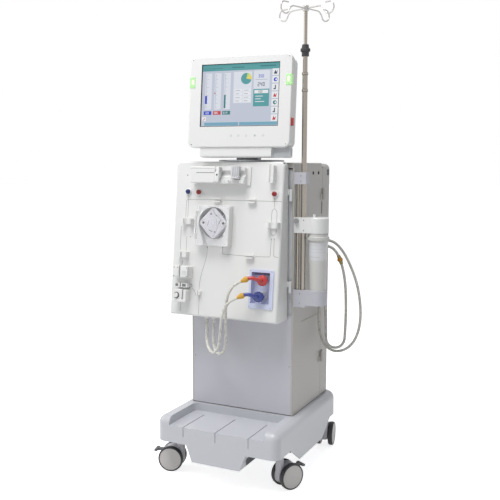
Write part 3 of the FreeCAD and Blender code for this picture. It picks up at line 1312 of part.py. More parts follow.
def monitor_bezel():
    frame = round_rim(bezel_plate(0, 0, BEZEL_D), 4, lambda e: lies_at(e, "y", 0))
    frame = frame.cut(bezel_plate(BEZEL_WALL, BEZEL_FACE, BEZEL_D + 1))
    opening = block(-SCREEN_HALF_W, SCREEN_HALF_W, -1, BEZEL_FACE + 1, -SCREEN_HALF_H, SCREEN_HALF_H)
    lights = [light_block(side) for side in (-1, 1)]
    y0, y1 = BUTTON_Y
    slot = block(BEZEL_HALF - BEZEL_WALL - 1, BEZEL_HALF + 1, y0 - GAP, y1 + GAP,
                 BUTTON_LOW - GAP, BUTTON_HIGH + GAP)
    screws = [rod((x, -1, z), Y_AXIS, BEZEL_SCREW_R, BEZEL_FACE - 1) for x, z in BEZEL_SCREWS]
    return on_monitor(cut(frame, opening, slot, *lights, *screws))


def screen_panel():
    half_w, half_h = SCREEN_HALF_W + SCREEN_MARGIN, SCREEN_HALF_H + SCREEN_MARGIN
    return on_monitor(block(-half_w, half_w, BEZEL_FACE, BEZEL_FACE + SCREEN_T, -half_h, half_h))


def status_lights():
    return on_monitor(Part.makeCompound([light_block(side) for side in (-1, 1)]))


def side_button():
    y0, y1 = BUTTON_Y
    inner = BEZEL_HALF - BEZEL_WALL - GAP
    cap = block(inner - 3, BEZEL_HALF + BUTTON_PROUD, y0, y1, BUTTON_LOW, BUTTON_HIGH)
    cap = round_edges(cap, 3, X_AXIS)
    flange = block(inner - 3, inner, y0 - 2, y1 + 2, BUTTON_LOW - 3, BUTTON_HIGH + 3)
    return on_monitor(join(cap, flange))


def monitor_rear_housing():
    body = rounded_plate(-HOUSING_HALF, HOUSING_HALF, HOUSING_LOW, HOUSING_HIGH, BEZEL_D, HOUSING_BACK, 20)
    body = round_rim(body, HOUSING_R, lambda e: lies_at(e, "y", HOUSING_BACK))
    hump = rounded_plate(-HUMP_HALF, HUMP_HALF, HUMP_LOW, HUMP_HIGH, BEZEL_D + 10, HUMP_BACK, 12)
    hump = round_rim(hump, 8, lambda e: lies_at(e, "y", HUMP_BACK))
    chin = join(block(CHIN_LEFT, CHIN_STEP_X, CHIN_FRONT, CHIN_BACK, CHIN_LOW, BEZEL_LOW),
                block(CHIN_STEP_X, CHIN_RIGHT, CHIN_FRONT + CHIN_STEP, CHIN_BACK, CHIN_LOW, BEZEL_LOW))
    chin = round_rim(chin, CHIN_R, lambda e: lies_at(e, "z", CHIN_LOW))
    neck = block(CHIN_LEFT + 8, CHIN_RIGHT - 12, BEZEL_D, CHIN_BACK, BEZEL_LOW - 1, HOUSING_LOW + 8)
    wall = HOUSING_WALL
    cavity = rounded_plate(-HOUSING_HALF + wall, HOUSING_HALF - wall,
                           HOUSING_LOW + wall + 6, HOUSING_HIGH - wall, BEZEL_D - 1, HOUSING_BACK - wall, 18)
    cavity = round_rim(cavity, HOUSING_R - wall, lambda e: lies_at(e, "y", HOUSING_BACK - wall))
    axis = tilt_axis_point()
    slot_half = YOKE_HALF + GAP
    slot = block(-slot_half, slot_half, axis.y - YOKE_R - 8, HUMP_BACK + 1, HUMP_LOW - 1, axis.z + YOKE_R + 4)
    cheek_out = slot_half + CHEEK
    deep = (HOUSING_BACK - wall - 1, HUMP_BACK - wall)
    pockets = [block(near, far, *deep, HUMP_LOW + wall, HUMP_HIGH - wall)
               for near, far in ((-HUMP_HALF + wall, -cheek_out), (cheek_out, HUMP_HALF - wall))]
    loft = block(-slot_half, slot_half, *deep, axis.z + YOKE_R + 8, HUMP_HIGH - wall)
    guard = block(-cheek_out, cheek_out, axis.y - YOKE_R - 12, HOUSING_BACK - 1, HUMP_LOW, axis.z + YOKE_R + 8)
    bore = rod((-cheek_out, axis.y, axis.z), X_AXIS, TILT_PIN_R + RUN, 2 * cheek_out)
    solid = join(body, hump, chin, neck)
    solid = cut(solid, cavity, *pockets, loft)
    solid = join(solid, guard)
    return on_monitor(cut(solid, slot, bore))


# Pole, brackets, canister and hooks

def bracket_body(z0, z1):
    body = block(BRACKET_LEFT, BRACKET_RIGHT, BRACKET_FRONT, BRACKET_BACK, z0, z1)
    return round_edges(body, BRACKET_EDGE_R, Z_AXIS, lambda p: p.x > BRACKET_LEFT + 1)


def bracket_arm(z0, z1):
    """Arm that runs from the clamp body to the cup of the canister."""
    return block(BRACKET_RIGHT - 10, CANISTER_X, BRACKET_FRONT, BRACKET_BACK, z0, z1)


def bracket_bores(z0, z1):
    return [rod((POLE_X, POLE_Y, z0 - 1), Z_AXIS, POLE_R + SEAT, z1 - z0 + 2),
            rod((RAIL_TUBE_X, POLE_Y, z0 - 1), Z_AXIS, RAIL_TUBE_R + SEAT, z1 - z0 + 2)]


def pole_clamp_bracket():
    z0, z1 = BRACKET_1
    return cut(bracket_body(z0, z1), *bracket_bores(z0, z1))


def filter_upper_bracket():
    z0, z1 = BRACKET_2
    cup = rod((CANISTER_X, CANISTER_Y, z0), Z_AXIS, CUP_R, z1 - z0)
    cup = round_rim(cup, 5, lambda e: lies_at(e, "z", z1))
    hollow = rod((CANISTER_X, CANISTER_Y, z0 - 1), Z_AXIS, CUP_R - CUP_WALL, z1 - z0 - CUP_ROOF + 1)
    nipple = sleeve((CANISTER_X - 12, CANISTER_Y - 12, z1 - 1), Z_AXIS, 5, 2.5, 12)
    body = join(bracket_body(z0, z1), bracket_arm(z0, z1), cup, nipple)
    screw = rod((KNOB_X, BRACKET_FRONT - 1, KNOB_Z), Y_AXIS, KNOB_SCREW_R + RUN,
                POLE_Y - RAIL_TUBE_R - BRACKET_FRONT)
    return cut(body, hollow, screw, *bracket_bores(z0, z1))


def filter_lower_bracket():
    z0, z1 = BRACKET_3
    cup = rod((CANISTER_X, CANISTER_Y, z0 + 8), Z_AXIS, LOW_CUP_R, z1 - z0 - 8)
    hollow = rod((CANISTER_X, CANISTER_Y, z1 - LOW_CUP_DEPTH), Z_AXIS, CANISTER_LOW_R + GAP,
                 LOW_CUP_DEPTH + 1)
    body = join(bracket_body(z0, z1), bracket_arm(z0 + 8, z1), cup)
    return cut(body, hollow, *bracket_bores(z0, z1))


def filter_canister():
    bottom = BRACKET_3[1] - LOW_CUP_DEPTH
    top = BRACKET_2[1] - CUP_ROOF
    shoulder = BRACKET_2[0] - 2
    profile = [(0, bottom), (CANISTER_LOW_R, bottom), (CANISTER_LOW_R, BRACKET_3[1] + 8),
               (CANISTER_TOP_R - 3, shoulder - 26), (CAP_R, shoulder - 24), (CAP_R, shoulder - 12),
               (CANISTER_TOP_R, shoulder - 10), (CANISTER_TOP_R, shoulder), (CUP_R - CUP_WALL - GAP, shoulder),
               (CUP_R - CUP_WALL - GAP, top), (0, top)]
    return revolve(profile, (CANISTER_X, CANISTER_Y))


def clamp_knob():
    head = rod((KNOB_X, BRACKET_FRONT - GAP, KNOB_Z), -Y_AXIS, KNOB_R, KNOB_L)
    flutes = []
    for k in range(KNOB_FLUTES):
        a = math.tau * k / KNOB_FLUTES
        spot = (KNOB_X + KNOB_R * math.cos(a), BRACKET_FRONT, KNOB_Z + KNOB_R * math.sin(a))
        flutes.append(rod(spot, -Y_AXIS, KNOB_FLUTE_R, KNOB_L + 2))
    screw = rod((KNOB_X, BRACKET_FRONT - GAP - 1, KNOB_Z), Y_AXIS, KNOB_SCREW_R,
                POLE_Y - RAIL_TUBE_R - BRACKET_FRONT - 1)
    return join(cut(head, *flutes), screw)


def pole_outer_tube():
    """Fixed pole with its two rings and the bush for the nut, and the slim guide rail beside it."""
    ring_low, ring_high = POLE_RING_Z
    lower = rod((POLE_X, POLE_Y, POLE_BOTTOM), Z_AXIS, POLE_R, ring_high - POLE_BOTTOM)
    upper = rod((POLE_X, POLE_Y, ring_high), Z_AXIS, POLE_UPPER_R, POLE_TOP - ring_high)
    rings = [rod((POLE_X, POLE_Y, z - POLE_RING_H / 2), Z_AXIS, POLE_RING_R, POLE_RING_H)
             for z in POLE_RING_Z]
    low, high = BUSH_TOP_Z
    bush = rod((POLE_X, POLE_Y, low), Z_AXIS, BUSH_TOP_R, high - low)
    bore = rod((POLE_X, POLE_Y, POLE_BOTTOM + POLE_FLOOR), Z_AXIS, INNER_R + RUN, high - POLE_BOTTOM)
    pole = join(lower, upper, bush, *rings).cut(bore)
    rail = rod((RAIL_TUBE_X, POLE_Y, RAIL_TUBE_BOTTOM), Z_AXIS, RAIL_TUBE_R,
               BRACKET_1[1] - RAIL_TUBE_DOWN - RAIL_TUBE_BOTTOM)
    return Part.makeCompound([pole, rail])


def pole_lock_nut():
    height = NUT_TOP - NUT_BOTTOM
    body = rod((POLE_X, POLE_Y, NUT_BOTTOM), Z_AXIS, NUT_R, height)
    body = round_rim(body, NUT_EDGE_R, lambda e: lies_at(e, "z", NUT_TOP))
    flange = rod((POLE_X, POLE_Y, NUT_BOTTOM + NUT_FLANGE_UP), Z_AXIS, NUT_FLANGE_R, NUT_FLANGE_T)
    flange = round_rim(flange, NUT_EDGE_R, lambda e: e.Closed)
    bore = rod((POLE_X, POLE_Y, NUT_BOTTOM), Z_AXIS, BUSH_TOP_R + RUN, height)
    return join(body, flange).cut(bore)


def pole_inner_tube():
    outer = rod((POLE_X, POLE_Y, INNER_BOTTOM), Z_AXIS, INNER_R, INNER_TOP - INNER_BOTTOM)
    return outer.cut(rod((POLE_X, POLE_Y, INNER_BOTTOM), Z_AXIS, INNER_R - 1.5, INNER_TOP - INNER_BOTTOM - 3))


def pole_hooks():
    hub = rod((POLE_X, POLE_Y, HOOK_Z - HUB_H / 2), Z_AXIS, HUB_R, HUB_H)
    hub = round_rim(hub, 2, lambda e: e.Closed)
    wires = []
    for angle in HOOK_ANGLES:
        a = math.radians(angle)
        points = [(POLE_X + r * math.cos(a), POLE_Y + r * math.sin(a), HOOK_Z + z) for r, z in HOOK_PATH]
        wires.append(tube(points, HOOK_WIRE_R))
    seat = rod((POLE_X, POLE_Y, HOOK_Z - HUB_H), Z_AXIS, INNER_R + SEAT, INNER_TOP - HOOK_Z + HUB_H)
    return join(hub, *wires).cut(seat)


# Water and drain hoses

def hose_ports():
    """Two outlets on the side panel and the block where the hose ends are parked."""
    ports = []
    for y, z in (WATER_PORT, DRAIN_PORT):
        ports.append(join(rod((CAB_HALF, y, z), X_AXIS, NIPPLE_R + NIPPLE_FLANGE, NIPPLE_FLANGE),
                          rod((CAB_HALF, y, z), X_AXIS, NIPPLE_R, NIPPLE_L)))
    park = round_edges(block(*PARK_X, *PARK_Y, *PARK_Z), 4, Z_AXIS, lambda p: p.x > CAB_HALF + 1)
    nipples = [rod((x, y, PARK_Z[0] - NIPPLE_L), Z_AXIS, NIPPLE_R, NIPPLE_L + 1)
               for x, y in (WATER_PARK, DRAIN_PARK)]
    return Part.makeCompound(ports + [join(park, *nipples)])


def side_hose_points(port, middle, park):
    y, z = port
    start = (CAB_HALF + NIPPLE_L, y, z)
    end = (park[0], park[1], PARK_Z[0] - NIPPLE_L)
    return [start] + middle + [end]


def coupling_ring():
    """Ring that joins the two lengths of the water hose, set on a straight stretch of it."""
    before, after = V(*WATER_ROUTE[2]), V(*WATER_ROUTE[3])
    axis = (after - before).normalize()
    start = (before + after) * 0.5 - axis * (COUPLING_RING_L / 2)
    outer = Part.makeCylinder(COUPLING_RING_R, COUPLING_RING_L, start, axis)
    return outer.cut(Part.makeCylinder(HOSE_R + GAP, COUPLING_RING_L, start, axis))


# The whole machine

def build():
    casters = {}
    for corner in caster_sites():
        placement = caster_placement(corner)
        braked = corner.startswith("f")
        casters["caster_fork_" + corner] = moved(caster_fork(braked), placement)
        casters["caster_wheel_" + corner] = moved(caster_wheel(), placement)
        if braked:
            casters["brake_pedal_" + corner] = moved(brake_pedal(), placement)
    nodes = {
        "base_cover": base_cover(),
        "chassis_frame": chassis_frame(),
        "lower_front_panel": lower_front_panel(),
        "left_side_panel": side_panel(-1),
        "right_side_panel": right_side_panel(),
        "top_cover": top_cover(),
        "rear_door": rear_door(),
        "hydraulic_block": hydraulic_block(),
        "power_supply": power_supply(),
        "front_door": front_door(),
        "door_back_plate": door_back_plate(),
        "blood_pump_housing": blood_pump_housing(),
        "pump_rotor": pump_rotor(),
        "pump_roller_a": pump_roller(-1),
        "pump_roller_b": pump_roller(1),
        "pump_cover": pump_cover(),
        "syringe_pump_housing": syringe_pump_housing(),
        "syringe_carriage": syringe_carriage(),
        "syringe_clamp": syringe_clamp(),
        "pressure_port_blue": pressure_ports("blue"),
        "pressure_ports_red": pressure_ports("red"),
        "tubing_holders": tubing_holders(),
        "air_detector": air_detector(),
        "tube_clamp_block": tube_clamp_block(),
        "clamp_plunger": clamp_plunger(),
        "rinse_bridge": rinse_bridge(),
        "red_coupling": coupling(*RED_SITE),
        "blue_coupling": coupling(*BLUE_SITE),
        "hose_adapters": Part.makeCompound([hose_adapter(RED_SITE), hose_adapter(BLUE_SITE)]),
        "monitor_turntable": monitor_turntable(),
        "monitor_bezel": monitor_bezel(),
        "screen_panel": screen_panel(),
        "monitor_rear_housing": monitor_rear_housing(),
        "status_lights": status_lights(),
        "side_button": side_button(),
        "pole_clamp_bracket": pole_clamp_bracket(),
        "filter_upper_bracket": filter_upper_bracket(),
        "filter_lower_bracket": filter_lower_bracket(),
        "filter_canister": filter_canister(),
        "clamp_knob": clamp_knob(),
        "pole_outer_tube": pole_outer_tube(),
        "pole_lock_nut": pole_lock_nut(),
        "pole_inner_tube": pole_inner_tube(),
        "pole_hooks": pole_hooks(),
        "hose_ports": hose_ports(),
    }
    nodes.update(casters)
    cords = {
        "dialysate_hose_red": dialysate_hose(RED_SITE, DIALYSATE_RED, GROMMET_RED, "red dialysate hose"),
        "dialysate_hose_blue": dialysate_hose(BLUE_SITE, DIALYSATE_BLUE, GROMMET_BLUE, "blue dialysate hose"),
        "water_hose": tube(side_hose_points(WATER_PORT, WATER_ROUTE, WATER_PARK), HOSE_R, "water hose"),
        "drain_hose": tube(side_hose_points(DRAIN_PORT, DRAIN_ROUTE, DRAIN_PARK), HOSE_R, "drain hose"),
        "hose_coupling": coupling_ring(),
    }
    return nodes, cords


def ground_centre(nodes):
    """Point on the floor under the middle of everything but the hoses."""
    extent = FreeCAD.BoundBox()
    for shape in nodes.values():
        extent.add(shape.optimalBoundingBox(False))
    return V((extent.XMin + extent.XMax) / 2, (extent.YMin + extent.YMax) / 2, extent.ZMin)


def main():
    os.makedirs("parts", exist_ok=True)
    nodes, cords = build()
    origin = ground_centre(nodes)
    print("origin in the cabinet's frame", tuple(round(c, 3) for c in origin))
    for name, shape in {**nodes, **cords}.items():
        if not shape.isValid():
            print("not valid:", name)
        moved(shape, FreeCAD.Placement(-origin, FreeCAD.Rotation())).exportStep(f"parts/{name}.step")


main()
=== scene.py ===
import math

import bmesh
import bpy
from mathutils import Matrix, Vector


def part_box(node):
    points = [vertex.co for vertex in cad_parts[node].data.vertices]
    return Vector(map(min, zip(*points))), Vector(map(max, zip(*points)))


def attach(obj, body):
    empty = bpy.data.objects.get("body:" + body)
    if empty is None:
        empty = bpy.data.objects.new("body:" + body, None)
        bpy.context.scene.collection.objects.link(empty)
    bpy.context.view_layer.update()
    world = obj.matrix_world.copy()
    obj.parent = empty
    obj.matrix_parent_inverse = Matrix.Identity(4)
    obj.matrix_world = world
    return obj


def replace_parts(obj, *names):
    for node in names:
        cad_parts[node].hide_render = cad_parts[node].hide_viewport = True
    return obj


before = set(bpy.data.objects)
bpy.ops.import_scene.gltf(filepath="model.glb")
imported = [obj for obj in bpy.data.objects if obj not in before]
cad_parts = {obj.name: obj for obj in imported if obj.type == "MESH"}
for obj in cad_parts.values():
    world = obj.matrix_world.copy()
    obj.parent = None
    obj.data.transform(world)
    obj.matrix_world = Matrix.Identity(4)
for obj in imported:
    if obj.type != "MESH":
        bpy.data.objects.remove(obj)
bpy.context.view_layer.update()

# The room: a white floor that runs to the horizon, two soft lamps and a pale sky.
# Points are in millimetres from the middle of the cabinet's front at floor level,
# and MACHINE takes them to the scene's metres.
TRAY_REACH = 0.215
low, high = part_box("base_cover")
ZERO = Vector(((low.x + high.x) / 2, low.y + TRAY_REACH, 0))
MACHINE = Matrix.Translation(ZERO) @ Matrix.Diagonal((0.001, 0.001, 0.001, 1))
SKY_STRENGTH = 0.38
FLOOR_GREY = 0.8
FLOOR_GLOW = 0.78


def link(tree, start, end):
    tree.links.new(start, end)


def put(node, socket, value):
    node.inputs[socket].default_value = value


def white_where_seen(tree, shown, lighting):
    """Shows one colour to the camera, to mirrors and through glass, and lights with another."""
    path = tree.nodes.new("ShaderNodeLightPath")
    seen = path.outputs["Is Camera Ray"]
    for ray in ("Is Glossy Ray", "Is Transmission Ray"):
        either = tree.nodes.new("ShaderNodeMath")
        either.operation = "MAXIMUM"
        link(tree, seen, either.inputs[0])
        link(tree, path.outputs[ray], either.inputs[1])
        seen = either.outputs[0]
    mix = tree.nodes.new("ShaderNodeMixShader")
    link(tree, seen, mix.inputs[0])
    link(tree, lighting, mix.inputs[1])
    link(tree, shown, mix.inputs[2])
    return mix.outputs[0]


world = bpy.data.worlds.new("room")
bpy.context.scene.world = world
world.use_nodes = True
tree = world.node_tree
sky = tree.nodes["Background"]
put(sky, "Color", (0.93, 0.96, 1.0, 1))
put(sky, "Strength", SKY_STRENGTH)
white = tree.nodes.new("ShaderNodeBackground")
put(white, "Color", (1, 1, 1, 1))
seen_sky = white_where_seen(tree, white.outputs[0], sky.outputs[0])
link(tree, seen_sky, tree.nodes["World Output"].inputs[0])


def blank(name):
    """New material, its node tree and its shader."""
    material = bpy.data.materials.new(name)
    material.use_nodes = True
    return material, material.node_tree, material.node_tree.nodes["Principled BSDF"]


bpy.ops.mesh.primitive_plane_add(size=60, location=(0, 14, 0))
floor = bpy.context.object
floor.name = "floor"
floor_paint, tree, matt = blank("floor_white")
put(matt, "Base Color", (FLOOR_GREY, FLOOR_GREY, FLOOR_GREY, 1))
put(matt, "Roughness", 0.8)
glow = tree.nodes.new("ShaderNodeEmission")
put(glow, "Strength", FLOOR_GLOW)
lifted = tree.nodes.new("ShaderNodeAddShader")
link(tree, matt.outputs[0], lifted.inputs[0])
link(tree, glow.outputs[0], lifted.inputs[1])
seen_floor = white_where_seen(tree, lifted.outputs[0], matt.outputs[0])
link(tree, seen_floor, tree.nodes["Material Output"].inputs[0])
floor.data.materials.append(floor_paint)


def lamp(name, place, target, size, power):
    light = bpy.data.lights.new(name, "AREA")
    light.size = size
    light.energy = power
    holder = bpy.data.objects.new(name, light)
    bpy.context.scene.collection.objects.link(holder)
    holder.location = place
    holder.rotation_euler = (Vector(target) - Vector(place)).to_track_quat("-Z", "Y").to_euler()


lamp("window_light", (-3.4, -1.9, 2.6), (0, 0, 0.9), 2.4, 36)
lamp("ceiling_light", (-0.3, -1.7, 4.4), (0, 0, 0.4), 2.0, 132)

# The photographer's place: right of the machine, a little above the middle of it.
EYE = MACHINE @ Vector((1286.3, -2589.7, 1205.5))
YAW, PITCH, ROLL = math.radians(25.74), math.radians(6.43), math.radians(0.20)
lens = bpy.data.cameras.new("camera")
lens.lens = 54.23
lens.sensor_width = 36
camera = bpy.data.objects.new("camera", lens)
bpy.context.scene.collection.objects.link(camera)
view = Vector((-math.sin(YAW) * math.cos(PITCH), math.cos(YAW) * math.cos(PITCH), -math.sin(PITCH)))
camera.matrix_world = (Matrix.Translation(EYE) @ view.to_track_quat("-Z", "Y").to_matrix().to_4x4()
                       @ Matrix.Rotation(ROLL, 4, "Z"))
bpy.context.scene.camera = camera
bpy.context.scene.view_settings.view_transform = "Standard"


# Hoses: clear soft tubing for the water, the drain and the two dialysate lines.
# Each is one limp length pushed over its fittings, and hangs in a loop from end to end.

def mixed(tree, share, first, second):
    """Colour between two others, by the share that a texture gives."""
    shade = tree.nodes.new("ShaderNodeMix")
    shade.data_type = "RGBA"
    put(shade, "A", [*first, 1])
    put(shade, "B", [*second, 1])
    link(tree, share, shade.inputs["Factor"])
    return shade.outputs["Result"]


def coating(name, colour, rough=0.4, metal=0.0, mottle=0.03, mottle_size=60, grain=0.0, grain_size=900,
            streak=None):
    """Finish whose colour drifts a little, with a fine relief of its own size."""
    material, tree, shader = blank(name)
    put(shader, "Metallic", metal)
    place = tree.nodes.new("ShaderNodeTexCoord")
    stretch = tree.nodes.new("ShaderNodeMapping")
    link(tree, place.outputs["Object"], stretch.inputs["Vector"])
    if streak:
        put(stretch, "Scale", streak)
    cloud = tree.nodes.new("ShaderNodeTexNoise")
    put(cloud, "Scale", mottle_size)
    put(cloud, "Detail", 4)
    link(tree, stretch.outputs[0], cloud.inputs["Vector"])
    shade = mixed(tree, cloud.outputs["Fac"], [c * (1 - mottle) for c in colour],
                  [min(1, c * (1 + mottle)) for c in colour])
    link(tree, shade, shader.inputs["Base Color"])
    gloss = tree.nodes.new("ShaderNodeMapRange")
    put(gloss, "To Min", max(0.02, rough - 0.06))
    put(gloss, "To Max", min(1, rough + 0.06))
    link(tree, cloud.outputs["Fac"], gloss.inputs["Value"])
    link(tree, gloss.outputs[0], shader.inputs["Roughness"])
    if grain:
        fine = tree.nodes.new("ShaderNodeTexNoise")
        put(fine, "Scale", grain_size)
        put(fine, "Detail", 2)
        link(tree, stretch.outputs[0], fine.inputs["Vector"])
        relief = tree.nodes.new("ShaderNodeBump")
        put(relief, "Strength", grain)
        put(relief, "Distance", 0.0002)
        link(tree, fine.outputs["Fac"], relief.inputs["Height"])
        link(tree, relief.outputs[0], shader.inputs["Normal"])
    return material


def tune(material, socket, value):
    """Sets one value on the shader of a finish."""
    put(material.node_tree.nodes["Principled BSDF"], socket, value)


def clear_tubing(name, colour, see_through):
    material = coating(name, colour, rough=0.28, mottle=0.05, mottle_size=45, grain=0.1, grain_size=300)
    tune(material, "Transmission Weight", see_through)
    tune(material, "IOR", 1.38)
    tune(material, "Subsurface Weight", 0.2)
    tune(material, "Subsurface Radius", (0.004, 0.004, 0.003))
    return material


milky_tubing = clear_tubing("milky_tubing", (0.78, 0.77, 0.71), 0.25)
grey_tubing = clear_tubing("grey_tubing", (0.60, 0.585, 0.54), 0.2)
HOSE_THICKNESS = 0.011


def bent_tube(name, points, radius, rings, body, material):
    """Tube on one smooth line through the points, which are in the machine's millimetres."""
    line = bpy.data.curves.new(name, "CURVE")
    line.dimensions = "3D"
    spline = line.splines.new("NURBS")
    spline.points.add(len(points) - 1)
    for knot, point in zip(spline.points, points):
        knot.co = (*(MACHINE @ Vector(point)), 1)
    spline.order_u = 3
    spline.use_endpoint_u = True
    line.resolution_u = 12
    line.bevel_depth = radius
    line.bevel_resolution = rings
    line.use_fill_caps = True
    line.materials.append(material)
    tube = bpy.data.objects.new(name, line)
    bpy.context.scene.collection.objects.link(tube)
    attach(tube, body)
    return tube


def hang_hose(name, points, node, body, material):
    """Free length of hose in its node's place."""
    hose = bent_tube(name, points, HOSE_THICKNESS / 2, 5, body, material)
    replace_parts(hose, node)


RED_LINE = [
    (77.2, -154.69, 783.86), (54.67, -162.31, 773.36), (31, -163, 744), (17, -157, 707), (9, -148, 664),
    (5, -138, 618), (1, -127, 573), (-7, -116, 528), (-24, -105, 495), (-51, -91, 482), (-77, -77, 496),
    (-88, -66, 530), (-88, -62, 572), (-88, -62, 612)]
BLUE_LINE = [
    (64.2, -161.31, 723.22), (41.67, -168.93, 712.72), (18, -169, 688), (3, -164, 652), (-7, -156, 612),
    (-15, -146, 570), (-26, -133, 531), (-45, -119, 501), (-71, -104, 489), (-96, -89, 500), (-112, -74, 529),
    (-118, -62, 568), (-118, -62, 612)]
WATER_LINE = [
    (234, 256, 885), (262, 256, 885), (286, 257, 874), (305, 259, 850), (320, 261, 812), (331, 263, 764),
    (337, 264, 712), (339, 264, 660), (340, 263, 610), (339, 262, 564), (338, 261, 528), (336, 260, 497),
    (318, 249, 475), (291, 235, 475), (272, 224, 497), (271, 223, 531), (270, 224, 571), (268, 226, 616),
    (265, 229, 664), (258, 236, 710), (247, 246, 750), (241, 252, 786), (241, 252, 824)]
DRAIN_LINE = [
    (234, 279, 906), (264, 279, 906), (296, 280, 888), (324, 281, 854), (348, 281, 810), (370, 281, 760),
    (386, 280, 706), (395, 279, 648), (397, 277, 590), (389, 273, 536), (368, 267, 490), (334, 259, 462),
    (294, 250, 456), (261, 241, 478), (243, 234, 520), (237, 230, 568), (236, 230, 618), (236, 235, 668),
    (235, 246, 714), (234, 262, 752), (234, 273, 784), (234, 273, 824)]
hang_hose("red_line_hose", RED_LINE, "dialysate_hose_red", "front_door", milky_tubing)
hang_hose("blue_line_hose", BLUE_LINE, "dialysate_hose_blue", "front_door", milky_tubing)
hang_hose("water_supply_hose", WATER_LINE, "water_hose", "chassis", grey_tubing)
hang_hose("drain_waste_hose", DRAIN_LINE, "drain_hose", "chassis", grey_tubing)


# Base cover: one large moulding of light grey plastic over the chassis, with a tray in front,
# three drip grooves and arches for the casters. It clips down on the rails.

def tone(red, green, blue):
    """Colour as it looks in print, 0 to 255, turned into the renderer's light values."""
    return [((c / 255 + 0.055) / 1.055) ** 2.4 if c > 10 else c / 3295 for c in (red, green, blue)]


def dress(material, *nodes):
    """Gives pieces of the frame their finish."""
    for node in nodes:
        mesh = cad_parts[node].data
        mesh.materials.clear()
        mesh.materials.append(material)


base_plastic = coating("base_plastic", tone(196, 197, 202), rough=0.34, mottle=0.02, mottle_size=14,
                       grain=0.12, grain_size=420)
tune(base_plastic, "Coat Weight", 0.15)
tune(base_plastic, "Coat Roughness", 0.3)
dress(base_plastic, "base_cover")


# Casters: twin wheels of black rubber on flat grey discs, with a moulded grey hood between them
# that turns on a stem in the chassis. The two front ones have a brake pedal.

def turned(profile, steps):
    """Closed ring or solid turned about Z from (radius, height) pairs."""
    shape = bmesh.new()
    corners = [shape.verts.new((radius, 0, height)) for radius, height in profile]
    edges = [shape.edges.new(pair) for pair in zip(corners, corners[1:])]
    bmesh.ops.spin(shape, geom=corners + edges, cent=(0, 0, 0), axis=(0, 0, 1), angle=math.tau,
                   steps=steps, use_merge=True)
    bmesh.ops.remove_doubles(shape, verts=shape.verts, dist=0.001)
    bmesh.ops.recalc_face_normals(shape, faces=shape.faces)
    return shape


def together(shapes):
    """Several shapes as one."""
    whole, *others = shapes
    for other in others:
        spare = bpy.data.meshes.new("spare")
        other.to_mesh(spare)
        other.free()
        whole.from_mesh(spare)
        bpy.data.meshes.remove(spare)
    return whole


def piece(name, shape, place, body, material, crease=35):
    """Puts a shape, or a list of them, made in millimetres where it belongs on its body."""
    if isinstance(shape, list):
        shape = together(shape)
    mesh = bpy.data.meshes.new(name)
    shape.to_mesh(mesh)
    shape.free()
    mesh.transform(place)
    mesh.materials.append(material)
    mesh.shade_smooth()
    mesh.set_sharp_from_angle(angle=math.radians(crease))
    thing = bpy.data.objects.new(name, mesh)
    bpy.context.scene.collection.objects.link(thing)
    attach(thing, body)
    return thing


def shift(x, y, z):
    return Matrix.Translation((x, y, z))


def turn(angle, axis):
    return Matrix.Rotation(math.radians(angle), 4, axis)


tyre_rubber = coating("tyre_rubber", tone(52, 52, 54), rough=0.62, mottle=0.12, mottle_size=70, grain=0.3)
wheel_disc = coating("wheel_disc", tone(200, 196, 193), rough=0.42, mottle=0.04, mottle_size=40, grain=0.12)
hood_plastic = coating("hood_plastic", tone(196, 195, 200), mottle_size=30, grain=0.15)
pedal_plastic = coating("pedal_plastic", tone(92, 92, 94), rough=0.5, mottle=0.06, grain=0.25)
WHEEL_CENTRE = shift(0, -35, 50)
TYRE = [(44.5, 36.6), (46, 37), (48.3, 36), (49.5, 33.4), (50, 29.6), (50, 24.4), (49.5, 20.6),
        (48.3, 18), (46, 17), (44.5, 17.4), (43.4, 19), (43.4, 35), (44.5, 36.6)]
DISC = [(0, 36.9), (5.6, 36.9), (6.2, 36.4), (6.8, 36.4), (7.6, 36.2), (38.6, 35.9), (39.4, 35.5),
        (40.2, 35.9), (42.4, 36.2), (43.6, 35.6), (43.6, 18.4), (42.4, 17.8), (30, 17.4), (12, 17.2),
        (6, 17.2), (0, 17.2)]
CASTERS = {"fl": (-214, -103, 195), "fr": (214, -103, 60), "rl": (-214, 375, 84), "rr": (214, 375, 100)}
for corner, (x, y, heading) in CASTERS.items():
    wheel = "caster_wheel_" + corner
    caster = MACHINE @ shift(x, y, 0) @ turn(heading + 90, "Z")
    for side, quarter in (("right", 90), ("left", -90)):
        axle = caster @ WHEEL_CENTRE @ turn(quarter, "Y")
        tyre = piece(f"tyre_{corner}_{side}", turned(TYRE, 72), axle, wheel, tyre_rubber)
        piece(f"disc_{corner}_{side}", turned(DISC, 72), axle, wheel, wheel_disc, 25)
        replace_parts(tyre, wheel)
    dress(hood_plastic, "caster_fork_" + corner)
    if corner.startswith("f"):
        dress(pedal_plastic, "brake_pedal_" + corner)


# Chassis and inner units: a welded frame in powder coat, the manifold with its flow pumps and
# the power supply. They show through the gaps and when the doors swing.
frame_paint = coating("frame_paint", tone(226, 228, 230), rough=0.5, mottle=0.05, grain=0.3, grain_size=700)
unit_plastic = coating("unit_plastic", tone(168, 170, 172), rough=0.45, mottle=0.05, grain=0.2)
supply_steel = coating("supply_steel", tone(176, 177, 178), rough=0.38, metal=0.85, mottle=0.08, grain=0.1,
                       streak=(1, 1, 12))
back_plate_steel = coating("back_plate_steel", tone(190, 190, 188), rough=0.42, metal=0.8, mottle=0.06,
                           grain=0.1, streak=(14, 1, 1))
dress(frame_paint, "chassis_frame")
dress(unit_plastic, "hydraulic_block")
dress(supply_steel, "power_supply")
dress(back_plate_steel, "door_back_plate")


